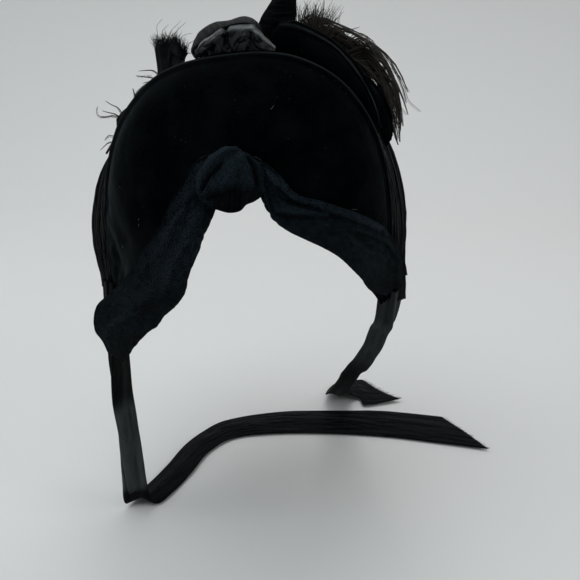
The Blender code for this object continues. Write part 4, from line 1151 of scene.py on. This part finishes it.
def lockStrands(rows):
    # locks of barbs that stick together: they follow the arc of the quill and droop at their ends
    made = []
    for i in range(plume["locks"]):
        # where along the quill the lock ends, how far it sweeps, and how high and wide it stands
        end = 0.24 + 0.80 * (i + chance.random()) / plume["locks"]
        back = chance.uniform(0.16, 0.48)
        share = 1.06 * chance.random() ** 0.6
        turned, high = chance.uniform(-1.6, 1.6), chance.uniform(0.15, 0.42)
        aside, begin = chance.uniform(-0.012, 0.022), chance.uniform(0.13, 0.36)
        droop = chance.uniform(-0.1, 0.45)
        curl = np.array([chance.gauss(0, 1) for _ in range(3)]) * 0.0008
        phase = chance.uniform(0, 6.3)
        for j in range(plume["barbsEach"]):
            # barbs spread at the root and cling together at the tip
            s = np.linspace(0, 1, 9)
            near = 0.80 * chance.gauss(0, 1) * (1 - 0.80 * s)
            t = np.clip(end - back * (1 - s) * chance.uniform(0.75, 1.1), min(begin, end - 0.05), 1.0)
            row = readRows(rows, t)
            reach = s ** 0.9
            angle = row[:, 1] + (row[:, 3] - row[:, 1]) * reach + turned + 0.6 * near
            side = row[:, 2] + (row[:, 4] - row[:, 2]) * reach + 0.006 * near + aside * s * s
            level = plume["length"] * share * row[:, 5] * np.minimum(1, s / high) ** 0.7
            level = level * (1 - droop * s ** 3) + 0.0007 * near
            path = formPoint(angle, side, seat(side) + 0.0024 + np.maximum(level, 0))
            path = path + np.outer(np.sin(4.5 * s + phase) * s, curl)
            made.append((path, 0.00026 * chance.uniform(0.6, 1.3) * (1.05 - 0.75 * s)))
    return made


def tuftStrands(rows):
    # short barbs that stand up beside the tall loop
    made = []
    for i in range(plume["tuft"]):
        side = chance.uniform(0.098, 0.172)
        thick = ramp(side, 0.112, 0.128)
        high = chance.uniform(0.024, 0.032) + 0.005 * thick + 0.007 * (chance.random() < 0.05)
        lean = np.array((chance.uniform(-0.15, 0.35), chance.uniform(-0.2, 0.3), 1.0))
        start = formPoint(chance.uniform(92, 95.5), side, seat(side) + 0.001)
        curl = chance.uniform(0.04, 0.14)
        for j in range(2 + int(7 * thick)):
            own = np.array([chance.gauss(0, 0.0007) for _ in range(3)])
            bent = lean + np.array([chance.gauss(0, 0.05) for _ in range(3)])
            made.append(bendStrand(start + own, bent, high * chance.uniform(0.75, 1.05),
                                   (0.25 * lean[0], 0, -0.10), curl, 0.00026, 8))
    return made


barbs = lockStrands(plume["rows"]) + tuftStrands(plume["rows"])
for angle, line in plume["strays"]:
    barbs.append(fanStrand(angle, line, 0.00024))
    barbs.append(fanStrand(angle + 0.5, np.asarray(line) - (0.6, 0.5), 0.00018))
brownPlume = drawStrands("brownPlume", barbs, feather, ["plume"])

quill = [formPoint(93.0 + 6.5 * min(1.0, 1.6 * t), 0.060 + 0.31 * t, seat(0.060 + 0.31 * t) + 0.0026)
         for t in np.linspace(0, 1, 24)]
plumeQuill = drawStrands("plumeQuill", [(np.array(quill), plume["quillGirth"] * np.linspace(1, 0.6, 24))],
                         feather)

wisps = []
for line in plume["left"]:
    for j in range(3):
        away = np.array((chance.uniform(-0.4, 0.4), chance.uniform(-0.4, 0.4)))
        strand = np.asarray(line) + np.linspace(1.6, 0.5, len(line))[:, None] * away
        wisps.append(fanStrand(plume["leftAngle"] + chance.uniform(-0.5, 0.5), strand, 0.00022))
# a faded barb that lies along the edge of the velvet
for j in range(60):
    s = np.linspace(0, 1, 4)
    begin = chance.uniform(0, 0.7)
    along = readRows(((0.0, -47.5, 141.5), (0.4, -56.0, 137.8), (0.75, -61.5, 133.6), (1.0, -64.3, 130.7)),
                     begin + s * 0.3)
    strand = along[:, 1:] + np.array((chance.uniform(-1.0, 1.0), chance.uniform(-1.0, 1.2)))
    wisps.append(fanStrand(plume["leftAngle"] - 1.0, strand, 0.00014))
# fluff on two of the wisps
for centre in ((-57.0, 142.4), (-81.5, 118.8)):
    for j in range(26):
        start = np.array(centre) + (chance.uniform(-4.5, 4.0), chance.uniform(-0.4, 0.4))
        wisps.append(fanStrand(plume["leftAngle"], (start, start + (chance.uniform(-1, 0.4), 0.7),
                               start + (chance.uniform(-1.4, 0.4), chance.uniform(-1.2, 1.6))), 0.00008, 4))
leftWisps = drawStrands("leftWisps", wisps, paleFeather, ["left_feathers"])
leftQuill = [formPoint(88.0, -0.19 - 0.27 * t, seat(-0.19 - 0.27 * t) + 0.0020)
             for t in np.linspace(0, 1, 18)]
wispQuill = drawStrands("wispQuill", [(np.array(leftQuill), np.linspace(0.0013, 0.0007, 18))],
                        feather)
print("feathers made")


# Ties: creased ribbons that hang from the ears and run on along the level below

tie = {
    "width": 0.040,
    "wall": 0.0008,
    "levelDrop": 0.300,
    "slant": (0.050, 0.12),   # how much shorter the far edge is, left and right, as shares
    "slantFrom": 0.78,
    "lieFrom": (0.86, 0.98),  # drop over which it turns from hanging to lying
    # place along it, x, y, drop, width, crease, facing
    "left": (
        (0.000, -0.955, -0.080, -0.075, 0.34, 0.20, 10), (0.060, -0.950, -0.115, 0.110, 0.34, 0.32, 10),
        (0.120, -0.935, -0.145, 0.260, 0.36, 0.34, 0), (0.180, -0.905, -0.175, 0.420, 0.32, 0.36, -10),
        (0.240, -0.880, -0.205, 0.580, 0.36, 0.34, -10), (0.300, -0.870, -0.225, 0.750, 0.40, 0.32, 0),
        (0.350, -0.860, -0.240, 0.890, 0.44, 0.28, 5), (0.390, -0.830, -0.255, 0.978, 0.50, 0.16, 8),
        (0.430, -0.760, -0.170, 0.990, 0.54, 0.08, -15), (0.500, -0.650, 0.040, 0.990, 0.55, 0.06, -18),
        (0.570, -0.555, 0.260, 0.990, 0.56, 0.06, -24), (0.640, -0.360, 0.440, 0.990, 0.66, 0.05, -50),
        (0.720, 0.050, 0.545, 0.990, 0.80, 0.04, -74), (0.800, 0.530, 0.590, 0.990, 0.88, 0.04, -87),
        (0.880, 1.030, 0.602, 0.990, 0.95, 0.04, -92), (0.950, 1.490, 0.576, 0.990, 1.00, 0.03, -98),
        (1.000, 1.890, 0.540, 0.990, 1.00, 0.02, -100)),
    "right": (
        (0.000, 0.940, -0.080, -0.085, 0.40, 0.20, 10), (0.080, 0.915, -0.030, 0.070, 0.36, 0.32, 15),
        (0.160, 0.875, 0.045, 0.150, 0.30, 0.34, 20), (0.240, 0.830, 0.130, 0.270, 0.26, 0.36, 25),
        (0.320, 0.765, 0.230, 0.390, 0.26, 0.36, 30), (0.400, 0.700, 0.330, 0.500, 0.30, 0.34, 30),
        (0.480, 0.650, 0.440, 0.630, 0.36, 0.30, 25), (0.560, 0.610, 0.590, 0.770, 0.46, 0.24, 20),
        (0.640, 0.585, 0.770, 0.900, 0.56, 0.16, 12), (0.710, 0.600, 0.870, 0.970, 0.68, 0.10, -4),
        (0.790, 0.690, 0.955, 0.982, 0.90, 0.05, -56), (0.900, 0.850, 0.940, 0.982, 1.08, 0.04, -92),
        (1.000, 1.180, 0.985, 0.982, 0.84, 0.03, -100)),
}


def tiePlace(rows, seed):
    # a ribbon creased along its middle while it hangs, and flat where it lies
    fall = tie["levelDrop"] - form["rise"]

    def place(u, v):
        s = 2 * u - 1
        # the free end is cut on the slant
        cut = tie["slant"][rows[0][1] > 0] * (1 - s) / 2 * ramp(v, tie["slantFrom"], 1.0)
        row = readRows(rows, v - cut)
        centre = np.stack((row[:, 1] * form["halfWidth"], row[:, 2] * form["rise"],
                           -form["rise"] - row[:, 3] * fall), axis=1)
        turn = np.radians(row[:, 6])
        breadth = np.stack((np.cos(turn), np.sin(turn), turn * 0), axis=1)
        hang = 1.0 - ramp(row[:, 3], *tie["lieFrom"])
        away = np.stack((np.sin(turn) * hang, -np.cos(turn) * hang, 1.0 - hang), axis=1)
        away = away / np.linalg.norm(away, axis=1)[:, None]
        bend = 1 - np.sqrt(s * s + 0.010)
        second = 0.16 * np.sin(2.5 * math.pi * s + 5 * v) * hang
        along = np.stack((s * 0.008, v * 0.10, v * 0 + seed), axis=1)
        second = second + 0.10 * wobble(along, 0.006, seed) * hang
        crease = row[:, 5] * tie["width"] * (bend + second * (1 - s ** 4))
        crease = crease + 0.0006 * wobble(np.stack((s * 0.02, v * 0.6, v * 0), axis=1), 0.02, seed + 2)
        return centre + breadth * (row[:, 4] * tie["width"] / 2 * s)[:, None] + away * crease[:, None]
    return place


for name, seed, node, ribbonKind in (("left", 51, "tie_left", leftRibbon),
                                     ("right", 55, "tie_right", rightRibbon)):
    rows = tie[name]
    place = tiePlace(rows, seed)
    line = place(np.full(400, 0.5), np.linspace(0, 1, 400))
    length = np.linalg.norm(np.diff(line, axis=0), axis=1).sum()
    print(name, "tie is", round(float(length), 3), "m long")
    piece, u, v = layCloth(name + "Tie", 24, 340, place, (tie["width"], length))
    # painted light: grey along a stretch of it, in millimetres from the ear, and near black elsewhere
    run = v * length * 1000
    if name == "left":
        grey = ramp(run, 86, 104) * (1 - ramp(run, 160, 178)) + 0.04
        grey = grey + 0.45 * hump(u, 0.82, 0.10) * ramp(run, 15, 40) * (1 - ramp(run, 160, 175))
    else:
        grey = 0.12 + 0.75 * (1 - ramp(run, 70, 110))
    paintedLight(piece, grey)
    giveWall(piece, tie["wall"], offset=0.0)
    made = finishPiece(piece, [ribbonKind], [node])


def tieThreads(rows, seed, count, spread, edge, low, high):
    # loose threads: edge 0 or 1 is one of the long sides, and anything else the free end
    place = tiePlace(rows, seed)
    made = []
    for i in range(count):
        t = spread[0] + (spread[1] - spread[0]) * (i + chance.random()) / count
        u, v = (edge, t) if edge in (0.0, 1.0) else (t, 1.0)
        start = place(np.array((u,)), np.array((v,)))[0]
        inside = place(np.array((0.5 + (u - 0.5) * 0.8,)), np.array((v,)))[0] if edge in (0.0, 1.0) \
            else place(np.array((u,)), np.array((0.98,)))[0]
        aim = (start - inside) / np.linalg.norm(start - inside)
        aim = aim + np.array([chance.uniform(-0.3, 0.3), chance.uniform(-0.3, 0.3), chance.uniform(0, 0.25)])
        length = chance.uniform(low, high)
        made.append(bendStrand(start - aim * 0.0008, aim, length, (0, 0, -0.1), 0.08, 0.00012, 5))
    return made


frays = tieThreads(tie["left"], 51, 150, (0.0, 1.0), 0.5, 0.001, 0.005)
frays += tieThreads(tie["left"], 51, 90, (0.17, 0.27), 0.0, 0.0008, 0.0026)
frays += tieThreads(tie["right"], 55, 190, (0.0, 1.0), 0.5, 0.001, 0.006)
tieFrays = drawStrands("tieFrays", frays, frayThread)
print("ties made")


# Lint caught in the velvet pile

lint = []
# share of the way up the velvet, side, aim and length of each bit
for at, side, aim, length in ((0.34, -0.30, (0.7, 0.0, 0.7), 0.0060),
                              (0.32, -0.31, (0.5, 0.0, 0.8), 0.0045),
                              (0.40, -0.50, (0.2, 0.0, 0.95), 0.0050),
                              (0.62, -0.34, (0.3, 0.1, -0.2), 0.0030),
                              (0.30, 0.36, (0.9, 0.2, -0.3), 0.0035),
                              (0.52, 0.10, (0.6, 0.0, 0.5), 0.0025)):
    start = brimPoint(np.array((at,)), np.array((side,)), 0.0004)[0]
    lint.append(bendStrand(start, aim, length, (0, 0.1, 0), 0.12, 0.00010, 7))
velvetLint = drawStrands("velvetLint", lint, lintThread)


# Each piece that is shown, and its number of faces

for shown in bpy.data.objects:
    if shown.type == "MESH" and not shown.hide_render and not shown.get("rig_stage"):
        print(shown.name, len(shown.data.polygons), "faces")
